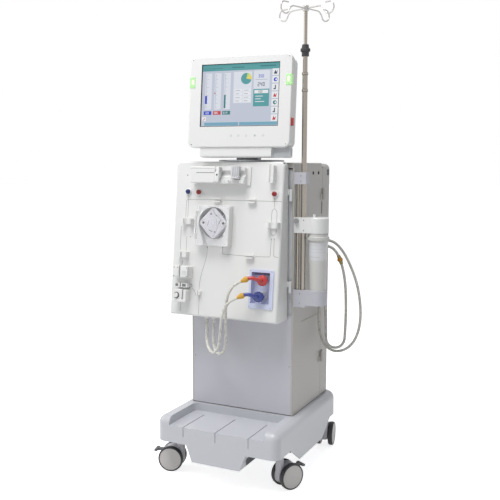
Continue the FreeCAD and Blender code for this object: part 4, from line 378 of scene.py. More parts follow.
# Cabinet: warm grey moulded sides, rear door and top cover, and a lavender grey front panel under
# the front door. The panels hang on the chassis and stand on the base cover.
side_plastic = coating("side_plastic", tone(184, 181, 176), rough=0.46, mottle=0.025, mottle_size=8,
                       grain=0.3, grain_size=650)
front_paint = coating("front_paint", tone(196, 195, 202), mottle=0.02, mottle_size=7, grain=0.2,
                      grain_size=600)
dress(side_plastic, "left_side_panel", "right_side_panel", "top_cover", "rear_door")
dress(front_paint, "lower_front_panel")


# Front door: one white moulding with rounded upper corners. The course of the blood lines is
# printed on it in grey, and two grommets at its foot take the dialysate hoses. The housings on
# it, the monitor and the filter's upper bracket are of the same white plastic.
shell_plastic = coating("shell_plastic", tone(226, 226, 224), rough=0.33, mottle=0.015, mottle_size=9,
                        grain=0.14, grain_size=500)
tune(shell_plastic, "Coat Weight", 0.12)
dress(shell_plastic, "front_door", "blood_pump_housing", "syringe_pump_housing", "tubing_holders",
      "air_detector", "tube_clamp_block", "monitor_bezel", "monitor_rear_housing", "filter_upper_bracket")
DOOR = MACHINE @ shift(0, -105.7, 625) @ turn(-6.231, "X") @ turn(90, "X")
PRINT_WIDTH = 1.7
PRINT_RISE = 0.14


def on_door(name, shape, material, place=DOOR):
    return piece(name, shape, place, "front_door", material)


def skinned(shape, rows):
    """Closed bar over rows of four corners each."""
    for near, far in zip(rows, rows[1:]):
        for k in range(4):
            shape.faces.new((near[k], near[(k + 1) % 4], far[(k + 1) % 4], far[k]))
    shape.faces.new(rows[0][::-1])
    shape.faces.new(rows[-1])
    bmesh.ops.recalc_face_normals(shape, faces=shape.faces)
    return shape


def ribbon(path, width, top=PRINT_RISE, under=-0.2):
    """Flat strip along a path of (x, height) on a face."""
    shape = bmesh.new()
    path = [Vector(spot) for spot in path]
    rows = []
    for index, spot in enumerate(path):
        coming = spot - path[index - 1] if index else path[1] - spot
        going = path[index + 1] - spot if index < len(path) - 1 else coming
        along = (coming.normalized() + going.normalized()).normalized()
        side = Vector((-along.y, along.x)) * (width / 2 / max(0.5, along.dot(coming.normalized())))
        rows.append([shape.verts.new((spot.x + sign * side.x, spot.y + sign * side.y, rise))
                     for sign, rise in ((1, under), (1, top), (-1, top), (-1, under))])
    return skinned(shape, rows)


def around(x, y, radius, angle):
    """Point of a circle, at an angle in radians."""
    return x + radius * math.cos(angle), y + radius * math.sin(angle)


def square(x0, x1, y0, y1):
    return [(x0, y0), (x1, y0), (x1, y1), (x0, y1)]


def rounded(x0, x1, y0, y1, radius, steps=6):
    """Outline of a rectangle with four round corners."""
    corners = ((x1 - radius, y1 - radius, 0), (x0 + radius, y1 - radius, 90),
               (x0 + radius, y0 + radius, 180), (x1 - radius, y0 + radius, 270))
    return [around(x, y, radius, math.radians(start + 90 * k / steps))
            for x, y, start in corners for k in range(steps + 1)]


def slab(outline, low, high, soft=0.0, steps=3):
    """Flat piece with that outline from low to high, its upper rim rounded."""
    shape = bmesh.new()
    underside = shape.faces.new([shape.verts.new((x, y, low)) for x, y in outline])
    grown = bmesh.ops.extrude_face_region(shape, geom=[underside])
    upper = [v for v in grown["geom"] if isinstance(v, bmesh.types.BMVert)]
    bmesh.ops.translate(shape, verts=upper, vec=(0, 0, high - low))
    bmesh.ops.recalc_face_normals(shape, faces=shape.faces)
    if soft:
        rim = [e for e in shape.edges if all(abs(v.co.z - high) < 0.001 for v in e.verts)]
        bmesh.ops.bevel(shape, geom=rim, offset=soft, segments=steps, profile=0.5, affect="EDGES")
    return shape


def dot(x, y, radius, top=PRINT_RISE):
    return slab([around(x, y, radius, math.tau * k / 20) for k in range(20)], -0.2, top)


def curved(points):
    """Path whose inner corners are rounded for print."""
    steps, reach = 5, 7.0
    points = [Vector(p) for p in points]
    path = [points[0]]
    for before, corner, after in zip(points, points[1:], points[2:]):
        first = corner + (before - corner).normalized() * min(reach, (before - corner).length / 2)
        last = corner + (after - corner).normalized() * min(reach, (after - corner).length / 2)
        for k in range(steps + 1):
            share = k / steps
            path.append(first.lerp(corner, share).lerp(corner.lerp(last, share), share))
    return path + [points[-1]]


line_print = coating("line_print", tone(158, 160, 156), rough=0.5, mottle=0.05)
dot_print = coating("dot_print", tone(84, 84, 84), rough=0.5, mottle=0.05)
COURSES = [
    [(-213, 14), (-213, 54)], [(-213, 197), (-213, 224)], [(-227, 306), (-227, 346)],
    [(-227, 250), (-227, 332)], [(-200, 250), (-200, 306)],
    [(-209, 378), (-209, 449), (-180, 451), (-91, 451)],
    [(-200, 380), (-200, 464)], [(-51, 451), (55, 451)], [(95, 451), (193, 451)], [(165, 428), (165, 466)],
    [(156, 374), (156, 414), (165, 427), (177, 414), (177, 374)],
    [(155, 350), (156, 332), (165, 323), (177, 332), (178, 350)],
    [(-41, 270), (-41, 247), (56, 244)], [(96, 244), (158, 246), (159, 311)],
    [(171, 312), (172, 248), (190, 246)],
    [(-107, 268), (-107, 240), (-116, 203), (-127, 166), (-132, 140), (-134, 104)],
    [(-132, 82), (-131, 9)], [(-164, 109), (-150, 92), (-146, 78)],
]
DOTS = ((159, 312, 1.9), (171, 313, 1.9), (-107, 270, 2.2), (-41, 272, 1.8), (-209, 544, 2.4),
        (-200, 464, 1.5), (-150, 464, 1.5), (165, 463, 1.5), (-183, 306, 1.8))
TILTED_FRAME = [(-181, 115), (-169, 123), (-165, 116), (-177, 108), (-181, 115)]
on_door("door_line_print", [ribbon(curved(course), PRINT_WIDTH) for course in COURSES],
        line_print)
on_door("door_dot_print", [dot(*spot) for spot in DOTS] + [ribbon(TILTED_FRAME, 1.3)],
        dot_print)


# Blood pump: a white housing with a round raceway, a moulded rotor with two steel rollers and
# small guide wheels on it, and a clear cover that swings open on its left edge.
clear_acrylic = coating("clear_acrylic", tone(250, 250, 252), rough=0.08, mottle=0.0, mottle_size=30)
tune(clear_acrylic, "Transmission Weight", 0.97)
tune(clear_acrylic, "IOR", 1.3)
rotor_plastic = coating("rotor_plastic", tone(214, 213, 217), rough=0.38, grain=0.12)
roller_steel = coating("roller_steel", tone(190, 190, 192), rough=0.25, metal=0.9, mottle=0.05,
                       streak=(1, 1, 20))
# Black for black screws and sockets, and as painted shade in screw crosses, louvres and the grille.
black_parts_and_shade = coating("black_parts_and_shade", tone(38, 38, 40), rough=0.5, mottle=0.1)
# Grey painted shade for the rotor's slots and the rear grille.
slot_and_grille_shade = coating("slot_and_grille_shade", tone(104, 103, 108), rough=0.5, mottle=0.06)
dress(clear_acrylic, "pump_cover")
dress(rotor_plastic, "pump_rotor")
dress(roller_steel, "pump_roller_a", "pump_roller_b")
ROTOR = DOOR @ shift(-73, 362, 0)
ROTOR_FACE = 23.8
CRANK_FACE = 26.2
ROLLER_REACH = 42.5


steel_screw = coating("steel_screw", tone(178, 178, 180), rough=0.3, metal=0.9, mottle=0.08)


def screws(name, spots, face, body, radius, height, metal=steel_screw):
    """Pan-head screws at (x, y, rise) on a face, each with a black cross that is painted shade of its recess.
    """
    for index, spot in enumerate(spots):
        head = turned([(0, -0.3), (radius, -0.3), (radius, height * 0.35), (radius * 0.86, height * 0.8),
                       (radius * 0.55, height), (0, height)], 20)
        piece(f"{name}_{index}", head, face @ shift(*spot), body, metal)
        arm, thick = radius * 0.62, radius * 0.16
        cross = [slab(square(-arm, arm, -thick, thick), height - 0.2, height + 0.04),
                 slab(square(-thick, thick, -arm, arm), height - 0.2, height + 0.05)]
        piece(f"{name}_{index}_cross", cross, face @ shift(*spot), body, black_parts_and_shade)


hub = [slab(rounded(-14, 14, -14, 14, 4), 27.5, 28.4, 0.6),
       turned([(0, 28), (9, 28), (9, 29.2), (8.2, 29.8), (5, 29.8), (4.4, 29), (0, 28.8)], 40),
       slab(rounded(-3.2, 3.2, -13, -2, 2), 28, 29.6, 0.6)]
piece("rotor_hub_cap", hub, ROTOR, "pump_rotor", rotor_plastic)
CRANK = [(-8, 50), (-1, 48), (4, 35), (19, 24), (36, 12), (33, 6), (22, -2), (20, -18), (9, -42),
         (-2, -50), (-9, -46), (-12, -38), (-27, -26), (-37, -9), (-33, -5), (-24, 2), (-20, 14), (-17, 33)]
collar = turned([(8.4, ROTOR_FACE), (8.4, 26.4), (7.4, 27), (6.4, 26.4), (6.2, ROTOR_FACE),
                 (8.4, ROTOR_FACE)], 36)
crank = [slab(CRANK, ROTOR_FACE, CRANK_FACE, 1.1), collar]
piece("rotor_crank", crank, ROTOR, "pump_rotor", rotor_plastic)
LOBE = [(6, ROTOR_FACE), (10.4, ROTOR_FACE), (10.4, 25), (9.6, 25.8), (8, 25.8), (6, 24.6), (6, ROTOR_FACE)]
for index, x in enumerate((-ROLLER_REACH, ROLLER_REACH)):
    lobe = turned(LOBE, 36)
    piece(f"rotor_lobe_{index}", lobe, ROTOR @ shift(x, 0, 0), "pump_rotor", shell_plastic)
# The slots are grey strips on the crank, painted as the shade inside them.
SLOTS = (((10, 31), (16, 28), 2.4), ((34, 14), (24, -1), 2.2), ((-17, -27), (-1, -33), 2.4),
         ((-24, -12), (-18, 8), 1.4))
slots = [ribbon([start, end], width, CRANK_FACE + 0.1, 26) for start, end, width in SLOTS]
piece("rotor_slots", slots, ROTOR, "pump_rotor", slot_and_grille_shade)
SOCKETS = ((-ROLLER_REACH, 0, 0, 4.2), (ROLLER_REACH, 0, 0, 4.2), (-10, 34, 1.4, 3.2), (9, -34, 1.4, 3.2))
for index, (x, y, lift, radius) in enumerate(SOCKETS):
    socket = turned([(0, ROTOR_FACE), (radius, ROTOR_FACE), (radius, 25.3), (radius * 0.8, 25.7),
                     (radius * 0.45, 25.7), (radius * 0.4, 24.6), (0, 24.6)], 24)
    piece(f"rotor_socket_screw_{index}", socket, ROTOR @ shift(x, y, lift), "pump_rotor", black_parts_and_shade)
GUIDE_WHEEL = [(2.2, 2), (5.6, 2), (6.6, 3), (5.2, 6), (5.2, 9), (6.6, 12), (5.6, 13), (2.2, 13), (2.2, 2)]
for index, (x, y) in enumerate(((24, 30), (-24, -30), (30, 24), (-30, -24))):
    piece(f"rotor_guide_wheel_{index}", turned(GUIDE_WHEEL, 28), ROTOR @ shift(x, y, 0), "pump_rotor",
          rotor_plastic)
screws("pump_housing_screw", [(x, y, 29.7) for y in (418, 285) for x in (-132, -14)], DOOR, "front_door", 3.2,
       0.25)


# Syringe pump: a white drive box with a push rod, a cradle for the barrel and a clamp over it.
# The pusher carries a rounded release tab, and a slot along the box shows the drive.
grey_plastic = coating("grey_plastic", tone(206, 206, 208), grain=0.15)
# Dark for the detector's screws, and as painted shade in dimples and round the clamp button.
dark_plastic_and_shade = coating("dark_plastic_and_shade", tone(52, 52, 54), rough=0.5, mottle=0.08, grain=0.2)
shadow_line = coating("shadow_line", tone(120, 120, 122), rough=0.6, mottle=0.05)
dress(grey_plastic, "syringe_carriage", "syringe_clamp")
drive_slot = [slab(rounded(-146, -70, 549, 551.4, 1.1), 44.6, 45.1),
              slab(rounded(-171, -70, 566.4, 567.4, 0.4), 44.7, 45.06)]
on_door("syringe_drive_slot", drive_slot, shadow_line)
PUSHER_EDGE = -44.6
tab = [slab(rounded(-63, PUSHER_EDGE, 514, 555, 8), 45.4, 53, 2.6),
       slab(rounded(-59, PUSHER_EDGE - 1, 552, 572, 4), 47, 50, 1.4)]
piece("syringe_release_knob", tab, DOOR, "syringe_carriage", shell_plastic)
# The dimple is a dark disc, painted as the shade in its hollow.
dimple = turned([(0, 52.8), (3.4, 52.8), (3.4, 53.3), (0, 53.2)], 24)
piece("syringe_knob_dimple", dimple, DOOR @ shift(-53, 542, 0), "syringe_carriage", dark_plastic_and_shade)
plunger_fork = [slab(rounded(-49, -45.4, y, y + 9, 1), 30, 44, 0.8) for y in (536, 563)]
piece("syringe_plunger_fork", plunger_fork, DOOR, "syringe_carriage", grey_plastic)
grip = [slab(rounded(x, x + 5.4, 538, 574, 2), 46, 49.4, 1.4) for x in (6, 14.6, 23.2)]
grip.append(slab(rounded(4, 33, 528.5, 535.5, 2.6), 46, 51, 1.8))
piece("syringe_clamp_grip", grip, DOOR, "syringe_clamp", grey_plastic)
LOCK = DOOR @ shift(-9, 519.4, 0)
lock = turned([(0, 35.8), (6.4, 35.8), (6.6, 37), (6.6, 41.4), (5.6, 43), (2.6, 43.2), (2.2, 42),
               (0, 41.8)], 36)
on_door("syringe_lock_knob", lock, shell_plastic, LOCK)
# Its dimple is a dark disc too, painted shade.
dimple = turned([(0, 41.7), (2, 41.7), (2, 42.2), (0, 42.2)], 20)
on_door("syringe_lock_dimple", dimple, dark_plastic_and_shade, LOCK)
ticks = [ribbon([(x, 514.5), (x, 519.5 if step % 4 else 523)], 0.8)
         for step, x in enumerate(range(-52, 44, 6))]
on_door("syringe_scale", ticks, line_print, DOOR @ shift(0, 0, 36))


# Pressure ports: a screwed-in connector in blue or red plastic, set in a white ring on the door.
# A luer bore runs through each, and a fluted grip helps to change it.

def fluted(radius, depth, count, low, high, soft, per_flute=8, steps=3):
    """Disc with a scalloped rim."""
    turns = [math.tau * k / (count * per_flute) for k in range(count * per_flute)]
    return slab([around(0, 0, radius + depth * math.cos(count * angle), angle) for angle in turns],
                low, high, soft, steps)


port_blue = coating("port_blue", tone(40, 52, 104), rough=0.35, mottle=0.05)
port_red = coating("port_red", tone(150, 44, 46), rough=0.35, mottle=0.05)
PORT_RING = [(9, -0.2), (13, -0.2), (13, 2.6), (12, 3.9), (10.2, 4.3), (9, 4.3), (9, -0.2)]
PORT_CAP = [(2.2, 3), (8.8, 3), (8.8, 11.4), (8, 12.6), (5.4, 13), (5, 14.8), (4.4, 15.2), (2.2, 15.2),
            (2.2, 3)]
for name, x, y, paint, node, slot in (("blue", -200, 480, port_blue, "pressure_port_blue", "blue"),
                                      ("red_left", -153, 479, port_red, "pressure_ports_red", "red"),
                                      ("red_right", 165, 478, port_red, "pressure_ports_red", "red")):
    spot = DOOR @ shift(x, y, 0)
    on_door(f"port_ring_{name}", turned(PORT_RING, 40), shell_plastic, spot)
    cap = [turned(PORT_CAP, 40), fluted(8.8, 0.35, 14, 4, 9.4, 0.4, 6, 1)]
    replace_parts(on_door(f"port_cap_{name}", cap, paint, spot), node)


# Left-hand column: air detector with a hinged flap, the slim line sensor under it and the
# line clamp with its sprung button. Small dark screws hold the detector's covers.
flap = slab(rounded(-198, -168, 149.5, 189.5, 4), 34.6, 37.6, 1.2)
left_cap = slab(rounded(-232, -210, 149.5, 189.5, 4), 34.6, 36.4, 0.9)
on_door("detector_flap", flap, shell_plastic)
on_door("detector_left_cap", left_cap, shell_plastic)
flap_ribs = [slab(rounded(-193, -173, y, y + 2.2, 1), 37, 38.4, 0.6) for y in (160, 166, 172)]
on_door("detector_ribs", flap_ribs, grey_plastic)
on_door("detector_hinge_pin", turned([(0, 148), (2, 148), (2, 191), (0, 191)], 20), steel_screw,
        DOOR @ shift(-167, 0, 34) @ turn(-90, "X"))
screws("detector_screw", ((-228, 186, 36.2), (-214, 186, 36.2), (-228, 153, 36.2), (-172, 186, 37.4),
                          (-172, 153, 37.4)), DOOR, "front_door", 1.9, 0.8, dark_plastic_and_shade)
windows = [slab(rounded(x0, x1, 113, 123, 2), 23.8, 24.3) for x0, x1 in ((-226, -214), (-196, -180))]
on_door("sensor_windows", windows, shadow_line)
on_door("clamp_foot", slab(rounded(-231, -171, 54, 63, 3), 33.6, 36.5, 1.4), shell_plastic)
CLAMP_BUTTON = DOOR @ shift(-213, 79, 0)
# The dark ring round the button is painted shade of the gap round it.
ring = turned([(9.3, 33.6), (12.2, 33.6), (12, 34.8), (11, 35.2), (9.3, 35.2), (9.3, 33.6)], 40)
on_door("clamp_button_ring", ring, dark_plastic_and_shade, CLAMP_BUTTON)
button = turned([(0, 40.4), (8.6, 40.4), (8.6, 41.2), (7.4, 42.4), (4.4, 42.2), (0, 41.6)], 40)
piece("clamp_button_cap", button, CLAMP_BUTTON, "clamp_plunger", shell_plastic)
dress(grey_plastic, "clamp_plunger")


# Rinse bridge: a bluish white tray let into the door, with a round seat for each coupling.
# Four small screws hold it.
bridge_plastic = coating("bridge_plastic", tone(206, 212, 236), rough=0.3, mottle=0.02, grain=0.1)
bridge_shade = coating("bridge_shade", tone(120, 116, 150), mottle=0.05)
dress(bridge_plastic, "rinse_bridge")
strip = slab(rounded(90, 161, 176, 185, 1.5), -23.2, -21.4, 0.5)
on_door("bridge_top_strip", strip, bridge_shade)
SEATS = {"red": DOOR @ shift(140, 158, 0), "blue": DOOR @ shift(127, 97, 0)}
for colour, spot in SEATS.items():
    seat = turned([(13.2, -23.2), (19, -23.2), (19, -21.4), (17.6, -20.4), (13.2, -20.4), (13.2, -23.2)], 40)
    on_door(f"bridge_seat_{colour}", seat, grey_plastic, spot)
screws("bridge_screw", [(x, y, 4) for y in (192, 57) for x in (83.5, 170.5)], DOOR, "front_door", 2.2, 0.7)


# Dialysate couplings: turned and moulded caps in red and blue with a fluted rim and a bent
# outlet. A yellow union nut joins each to its hose.
coupling_red = coating("coupling_red", tone(186, 44, 44), rough=0.32, mottle=0.05, grain=0.1)
coupling_blue = coating("coupling_blue", tone(48, 62, 140), rough=0.32, mottle=0.05, grain=0.1)
union_yellow = coating("union_yellow", tone(208, 160, 52), rough=0.35, mottle=0.06, grain=0.1)


def aimed(start, end):
    """Frame at start whose Z points to end, both in the machine's millimetres."""
    start, end = Vector(start), Vector(end)
    return MACHINE @ Matrix.Translation(start) @ (end - start).to_track_quat("Z", "Y").to_matrix().to_4x4()


RED_BEND = [(140, -110, 784.4), (140, -131, 786.7), (112, -143, 800), (98, -147.6, 793.5)]
BLUE_BEND = [(127, -116.6, 723.8), (127, -137.6, 726), (99, -149.6, 739.4), (85, -154.3, 732.9)]
UNION = [(0, 10), (9.4, 10), (9.4, 12), (8.2, 13), (8.6, 15.5), (7.4, 16.5), (7.8, 19), (6.6, 20),
         (6.6, 24), (0, 24)]
for colour, paint, bend, hose in (("red", coupling_red, RED_BEND, RED_LINE),
                                  ("blue", coupling_blue, BLUE_BEND, BLUE_LINE)):
    tune(paint, "Coat Weight", 0.3)
    cap = [turned([(0, -4), (13, -4), (13, 11), (15, 14.5), (12, 14.5), (0, 14.5)], 48),
           fluted(19.8, 0.7, 14, 14, 24.6, 2.2),
           turned([(0, 24), (15, 24), (15, 25.6), (13, 27), (0, 27.6)], 48)]
    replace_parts(on_door(f"coupling_{colour}_cap", cap, paint, SEATS[colour]), colour + "_coupling")
    bent_tube(f"coupling_{colour}_bend", bend, 0.007, 6, "front_door", paint)
    union = [fluted(10.3, 0.5, 10, 0, 11, 1.2), turned(UNION, 32),
             turned([(0, -3), (8.4, -3), (8.8, -2), (8.8, 0.5), (0, 0.5)], 32)]
    nut = on_door(f"union_nut_{colour}", union, union_yellow, aimed(bend[-1], hose[0]))
    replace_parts(nut, "hose_adapters")


# Monitor stand: a grey turntable on the top cover with a short neck that takes the tilt pin.
# It is moulded, and turns on a ring in the cover.
neck_plastic = coating("neck_plastic", tone(206, 208, 211), rough=0.42, grain=0.15)
dress(neck_plastic, "monitor_turntable")


# Monitor: a white two-part housing round a fifteen inch panel, held by four screws in front,
# with a row of touch keys under the picture and a skirt at its lower right, painted grey as the
# shade under the bezel's corner.
MONITOR = (MACHINE @ shift(0, 90, 0) @ turn(5.2, "Z") @ shift(0, -134.6, 1465.5) @ turn(-5.7, "X")
           @ turn(90, "X"))
# The skirt's grey is painted shade under the bezel's corner.
skirt_painted_shade = coating("skirt_painted_shade", tone(190, 192, 195), rough=0.42, mottle=0.04, grain=0.2)
skirt = slab([(133, -229), (199, -229), (203.2, -225), (203.2, -196), (133, -196)], -40.4, -18.6, 1.2)
piece("monitor_skirt", skirt, MONITOR, "monitor", skirt_painted_shade)
gasket_black = coating("gasket_black", tone(30, 32, 34), rough=0.5, mottle=0.1)
key_print = coating("key_print", tone(168, 174, 172), rough=0.5, mottle=0.04)
screws("bezel_screw", ((-192, 135, -0.6), (192, 135, -0.6), (188, -184, -0.6), (-188, -184, -0.6)), MONITOR,
       "monitor", 2.9, 0.9)
HALF_W, HALF_H = 156, 117.3
gasket = [slab(square(-HALF_W, HALF_W, y0, y1), -5, -0.6)
          for y0, y1 in ((-HALF_H, -HALF_H + 2.2), (HALF_H - 2.2, HALF_H))]
gasket += [slab(square(x0, x1, -HALF_H, HALF_H), -5, -0.5)
           for x0, x1 in ((-HALF_W, -HALF_W + 2.6), (HALF_W - 2.2, HALF_W))]
piece("screen_gasket", gasket, MONITOR, "monitor", gasket_black)


def ring_path(x, y, radius, start=0, end=360, steps=16):
    """Arc between two bearings in degrees."""
    return [around(x, y, radius, math.radians(start + (end - start) * k / steps)) for k in range(steps + 1)]


KEY_ROW = -152
keys = [ribbon(ring_path(-27, KEY_ROW, 4), 0.7), ribbon([(-30, -155), (-24, -149)], 0.7),
        ribbon(ring_path(2, KEY_ROW, 4.2), 0.7), dot(2, KEY_ROW, 1.2, 0.1),
        ribbon(ring_path(34, KEY_ROW, 4, 40, 320), 0.7), ribbon([(34, KEY_ROW), (38, KEY_ROW)], 0.8),
        ribbon(ring_path(68, KEY_ROW, 4.2), 0.7), dot(68, KEY_ROW, 2.4, 0.1),
        ribbon([(94, KEY_ROW), (106, KEY_ROW)], 0.9), ribbon([(97, -149), (103, -149)], 0.7),
        ribbon([(97, -155), (103, -155)], 0.7)]
piece("key_symbols", keys, MONITOR, "monitor", key_print)


# Display: a lit panel behind the opening. The picture is drawn as flat lit fields: a header, three
# gauges with readings, a dial, a value panel, a column of symbols and two bars.
SCREEN_GLOW = 0.73
SCREEN_BACK = -5.05
SCREEN_FACE = -4.95
LAYER = 0.06


def lit(name, colour):
    """Colour that glows by itself, in the faint rows of a display."""
    material, tree, shader = blank(name)
    put(shader, "Roughness", 0.3)
    place = tree.nodes.new("ShaderNodeTexCoord")
    rows = tree.nodes.new("ShaderNodeTexWave")
    rows.bands_direction = "Z"
    put(rows, "Scale", 600)
    link(tree, place.outputs["Object"], rows.inputs["Vector"])
    shade = mixed(tree, rows.outputs["Fac"], [c * 0.97 for c in colour], colour)
    link(tree, shade, shader.inputs["Emission Color"])
    put(shader, "Emission Strength", SCREEN_GLOW)
    put(shader, "Base Color", [c * 0.08 for c in colour] + [1])
    return material


class Picture:
    """Flat fields of one colour each, gathered into one piece a colour."""

    def __init__(self):
        self.fields = {}

    def shape(self, colour, outline, level=2):
        layer = slab(outline, SCREEN_BACK, SCREEN_FACE + LAYER * level)
        self.fields.setdefault(colour, []).append(layer)

    def field(self, colour, x0, x1, y0, y1, level=1):
        self.shape(colour, square(x0, x1, y0, y1), level)

    def number(self, colour, text, x, y, height, level=4):
        """Seven-bar figures."""
        bars = {"0": "abcdef", "1": "bc", "2": "abged", "3": "abgcd", "4": "fgbc", "5": "afgcd",
                "8": "abcdefg"}
        w, t = height * 0.5, height * 0.13
        spots = {"a": (0, w, height - t, height), "d": (0, w, 0, t),
                 "g": (0, w, (height - t) / 2, (height + t) / 2),
                 "b": (w - t, w, height / 2, height), "c": (w - t, w, 0, height / 2),
                 "e": (0, t, 0, height / 2), "f": (0, t, height / 2, height)}
        for sign in text:
            for bar in bars[sign]:
                x0, x1, y0, y1 = spots[bar]
                self.field(colour, x + x0, x + x1, y + y0, y + y1, level)
            x += w + t * 1.6


SCREEN_PAINT = {
    "field": (204, 211, 226), "pale": (232, 236, 246), "white": (246, 249, 252),
    "teal": (86, 164, 168), "dark_teal": (60, 128, 134), "blue": (52, 78, 204),
    "red": (206, 62, 76), "yellow": (240, 226, 110), "lime": (190, 226, 120),
    "steel_blue": (124, 176, 200), "ink": (60, 70, 92), "grey": (160, 168, 186),
}
picture = Picture()
picture.field("field", -153.4, 153.8, -115.1, 115.1, 0)
picture.field("teal", -153.4, 153.8, 92, 115.1)
for x0, x1, y0, y1 in ((-148, -70, 101, 103), (-148, -100, 96, 97.6), (-34, 14, 101, 105),
                       (78, 140, 102, 107)):
    picture.field("dark_teal", x0, x1, y0, y1, 2)
for colour, x, reading in (("blue", -136, "120"), ("red", -98, "085"), ("dark_teal", -60, "014")):
    picture.field("pale", x - 4, x + 22, -52, 84)
    picture.field("grey", x - 0.6, x + 0.6, -48, 80, 2)
    for step in range(9):
        picture.field("grey", x + 2, x + (9 if step % 2 else 6), -44 + step * 15, -43 + step * 15, 2)
    picture.field(colour, x - 8, x + 24, -72, -58, 2)
    picture.number("white", reading, x - 3, -69, 8, 3)
picture.field("blue", -140.5, -132, -30, 0, 3)
picture.shape("red", [(-103, 6), (-96, 9), (-103, 12)], 3)
picture.field("dark_teal", -63, -56, -48, 2, 3)
picture.field("pale", -26, 46, -30, 86)
picture.shape("teal", [around(24, 60, 21, math.radians(a)) for a in range(0, 360, 8)], 2)
picture.shape("yellow", [(24, 60)] + ring_path(24, 60, 21.4, -12, 78, 12), 3)
picture.shape("lime", [(24, 60)] + ring_path(24, 60, 21.5, 52, 78, 5), 4)
for row in range(4):
    for x in (0, 34):
        y = -26 + 13 * row
        picture.field("white", x - 20, x + 8, y, y + 9, 2)
        picture.field("grey", x - 17, x - 2 + 3 * (row % 2), y + 3, y + 5, 3)
picture.field("pale", 54, 116, -40, 88)
picture.number("blue", "350", 72, 62, 11)
picture.number("ink", "240", 70, 30, 14)
picture.field("grey", 60, 108, 54, 55.4, 3)
picture.field("teal", 54, 116, -44, 20, 3)
picture.field("white", 58, 112, 4, 16, 4)
picture.number("ink", "500", 74, 6, 8, 5)
for x, y in ((92, -8), (84, -18), (98, -28)):
    picture.field("pale", 62, x, y, y + 3, 4)
for row, colour in enumerate(("ink", "blue", "ink", "red", "dark_teal", "ink", "red")):
    y = 82 - 28 * row
    picture.field("white", 126, 151, y - 13, y + 11, 2)
    if row % 3 == 0:
        picture.shape(colour, [(131, y - 8), (137, y + 6), (141, y - 2), (146, y + 6), (143, y - 9)], 4)
    elif row % 3 == 1:
        picture.shape(colour, ring_path(139, y - 1, 7.5, 0, 345, 14), 4)
        picture.shape("white", ring_path(141.5, y - 1, 3.6, 0, 340, 10), 5)
    else:
        picture.field(colour, 137, 141, y - 9, y + 7, 4)
        picture.field(colour, 132, 141, y - 9, y - 5, 4)
picture.field("white", -150, -134, -95, -80, 2)
picture.shape("red", [(-147, -92), (-138, -84), (-137, -86), (-146, -94)], 3)
for x0, x1 in ((-140, -2), (2, 151)):
    picture.field("steel_blue", x0, x1, -113, -99, 2)
    picture.field("pale", x0, x1, -100.6, -99.4, 3)
for colour, shapes in picture.fields.items():
    paint = lit("display_" + colour, tone(*SCREEN_PAINT[colour]))
    layer = piece("display_" + colour, shapes, MONITOR, "monitor", paint)
    if colour == "field":
        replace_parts(layer, "screen_panel")


# Status lights and stop button: two green lenses let into the bezel's edges, with fine ribs and a
# lamp behind them, and a red push button on the right-hand edge.
lens_green = coating("lens_green", tone(196, 234, 184), rough=0.25, mottle=0.05)
tune(lens_green, "Emission Color", (*tone(186, 232, 160), 1))
tune(lens_green, "Emission Strength", 0.2)
tune(lens_green, "Transmission Weight", 0.3)
lamp_core = coating("lamp_core", tone(240, 255, 236), mottle=0.02)
tune(lamp_core, "Emission Color", (0.72, 1, 0.5, 1))
tune(lamp_core, "Emission Strength", 0.6)
button_red = coating("button_red", tone(176, 40, 38), rough=0.35, mottle=0.04)
dress(button_red, "side_button")
for side, name in ((-1, "left"), (1, "right")):
    x0, x1 = sorted((181.2 * side, 202.6 * side))
    ribs = [slab(rounded(x0, x1, 31.5 + 3.1 * k, 33.2 + 3.1 * k, 0.8), 0.8, 2.1, 0.5) for k in range(13)]
    block = slab(rounded(x0 - 0.4 * (side > 0), x1, 30.2, 70.8, 3), -18, 1.3, 0.8)
    lens = piece(f"status_lens_{name}", [block] + ribs, MONITOR, "monitor", lens_green)
    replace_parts(lens, "status_lights")
    x0, x1 = sorted((185 * side, 196 * side))
    core = slab(rounded(x0, x1, 42, 62, 4), 0.4, 1.7, 0.3)
    piece(f"status_glow_{name}", core, MONITOR, "monitor", lamp_core)


# Infusion pole: a bright steel tube with two rings, a thinner tube that slides in it, a black
# clamping nut and four hooks of bent wire on a hub. Three moulded brackets carry it.
pole_steel = coating("pole_steel", tone(158, 151, 142), rough=0.24, metal=0.95, mottle=0.06, grain=0.08,
                     streak=(1, 1, 0.05))
wire_chrome = coating("wire_chrome", tone(176, 174, 172), rough=0.14, metal=1.0, mottle=0.04)
bracket_plastic = coating("bracket_plastic", tone(190, 189, 196), rough=0.42, grain=0.2)
knob_plastic = coating("knob_plastic", tone(150, 150, 152), rough=0.45, mottle=0.05, grain=0.2)
nut_black = coating("nut_black", tone(44, 44, 46), rough=0.42, mottle=0.1, grain=0.2)
# Dark for the pole's seams, and as painted shade in the gaps at the panels' feet.
dark_seam_and_gap_shade = coating("dark_seam_and_gap_shade", tone(70, 68, 66), rough=0.5, mottle=0.1)
dress(pole_steel, "pole_outer_tube", "pole_inner_tube")
dress(wire_chrome, "pole_hooks")
dress(bracket_plastic, "pole_clamp_bracket", "filter_lower_bracket")
dress(knob_plastic, "clamp_knob")
POLE = MACHINE @ shift(252, 12, 0)
nut = [turned([(10.36, 1598), (13, 1598), (13.4, 1599), (13.4, 1612), (15, 1614), (15, 1615.4),
               (10.36, 1615.4), (10.36, 1598)], 40),
       turned([(10.36, 1627), (14, 1627), (12.8, 1632), (12.6, 1638), (11, 1640), (6.7, 1640.6),
               (6.7, 1636), (10.36, 1635.6), (10.36, 1627)], 40)]
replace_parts(piece("pole_nut_body", nut, POLE, "pole_lock_nut", nut_black), "pole_lock_nut")
piece("pole_nut_grip", fluted(17.2, 0.7, 18, 1615, 1626, 2), POLE, "pole_lock_nut", nut_black)
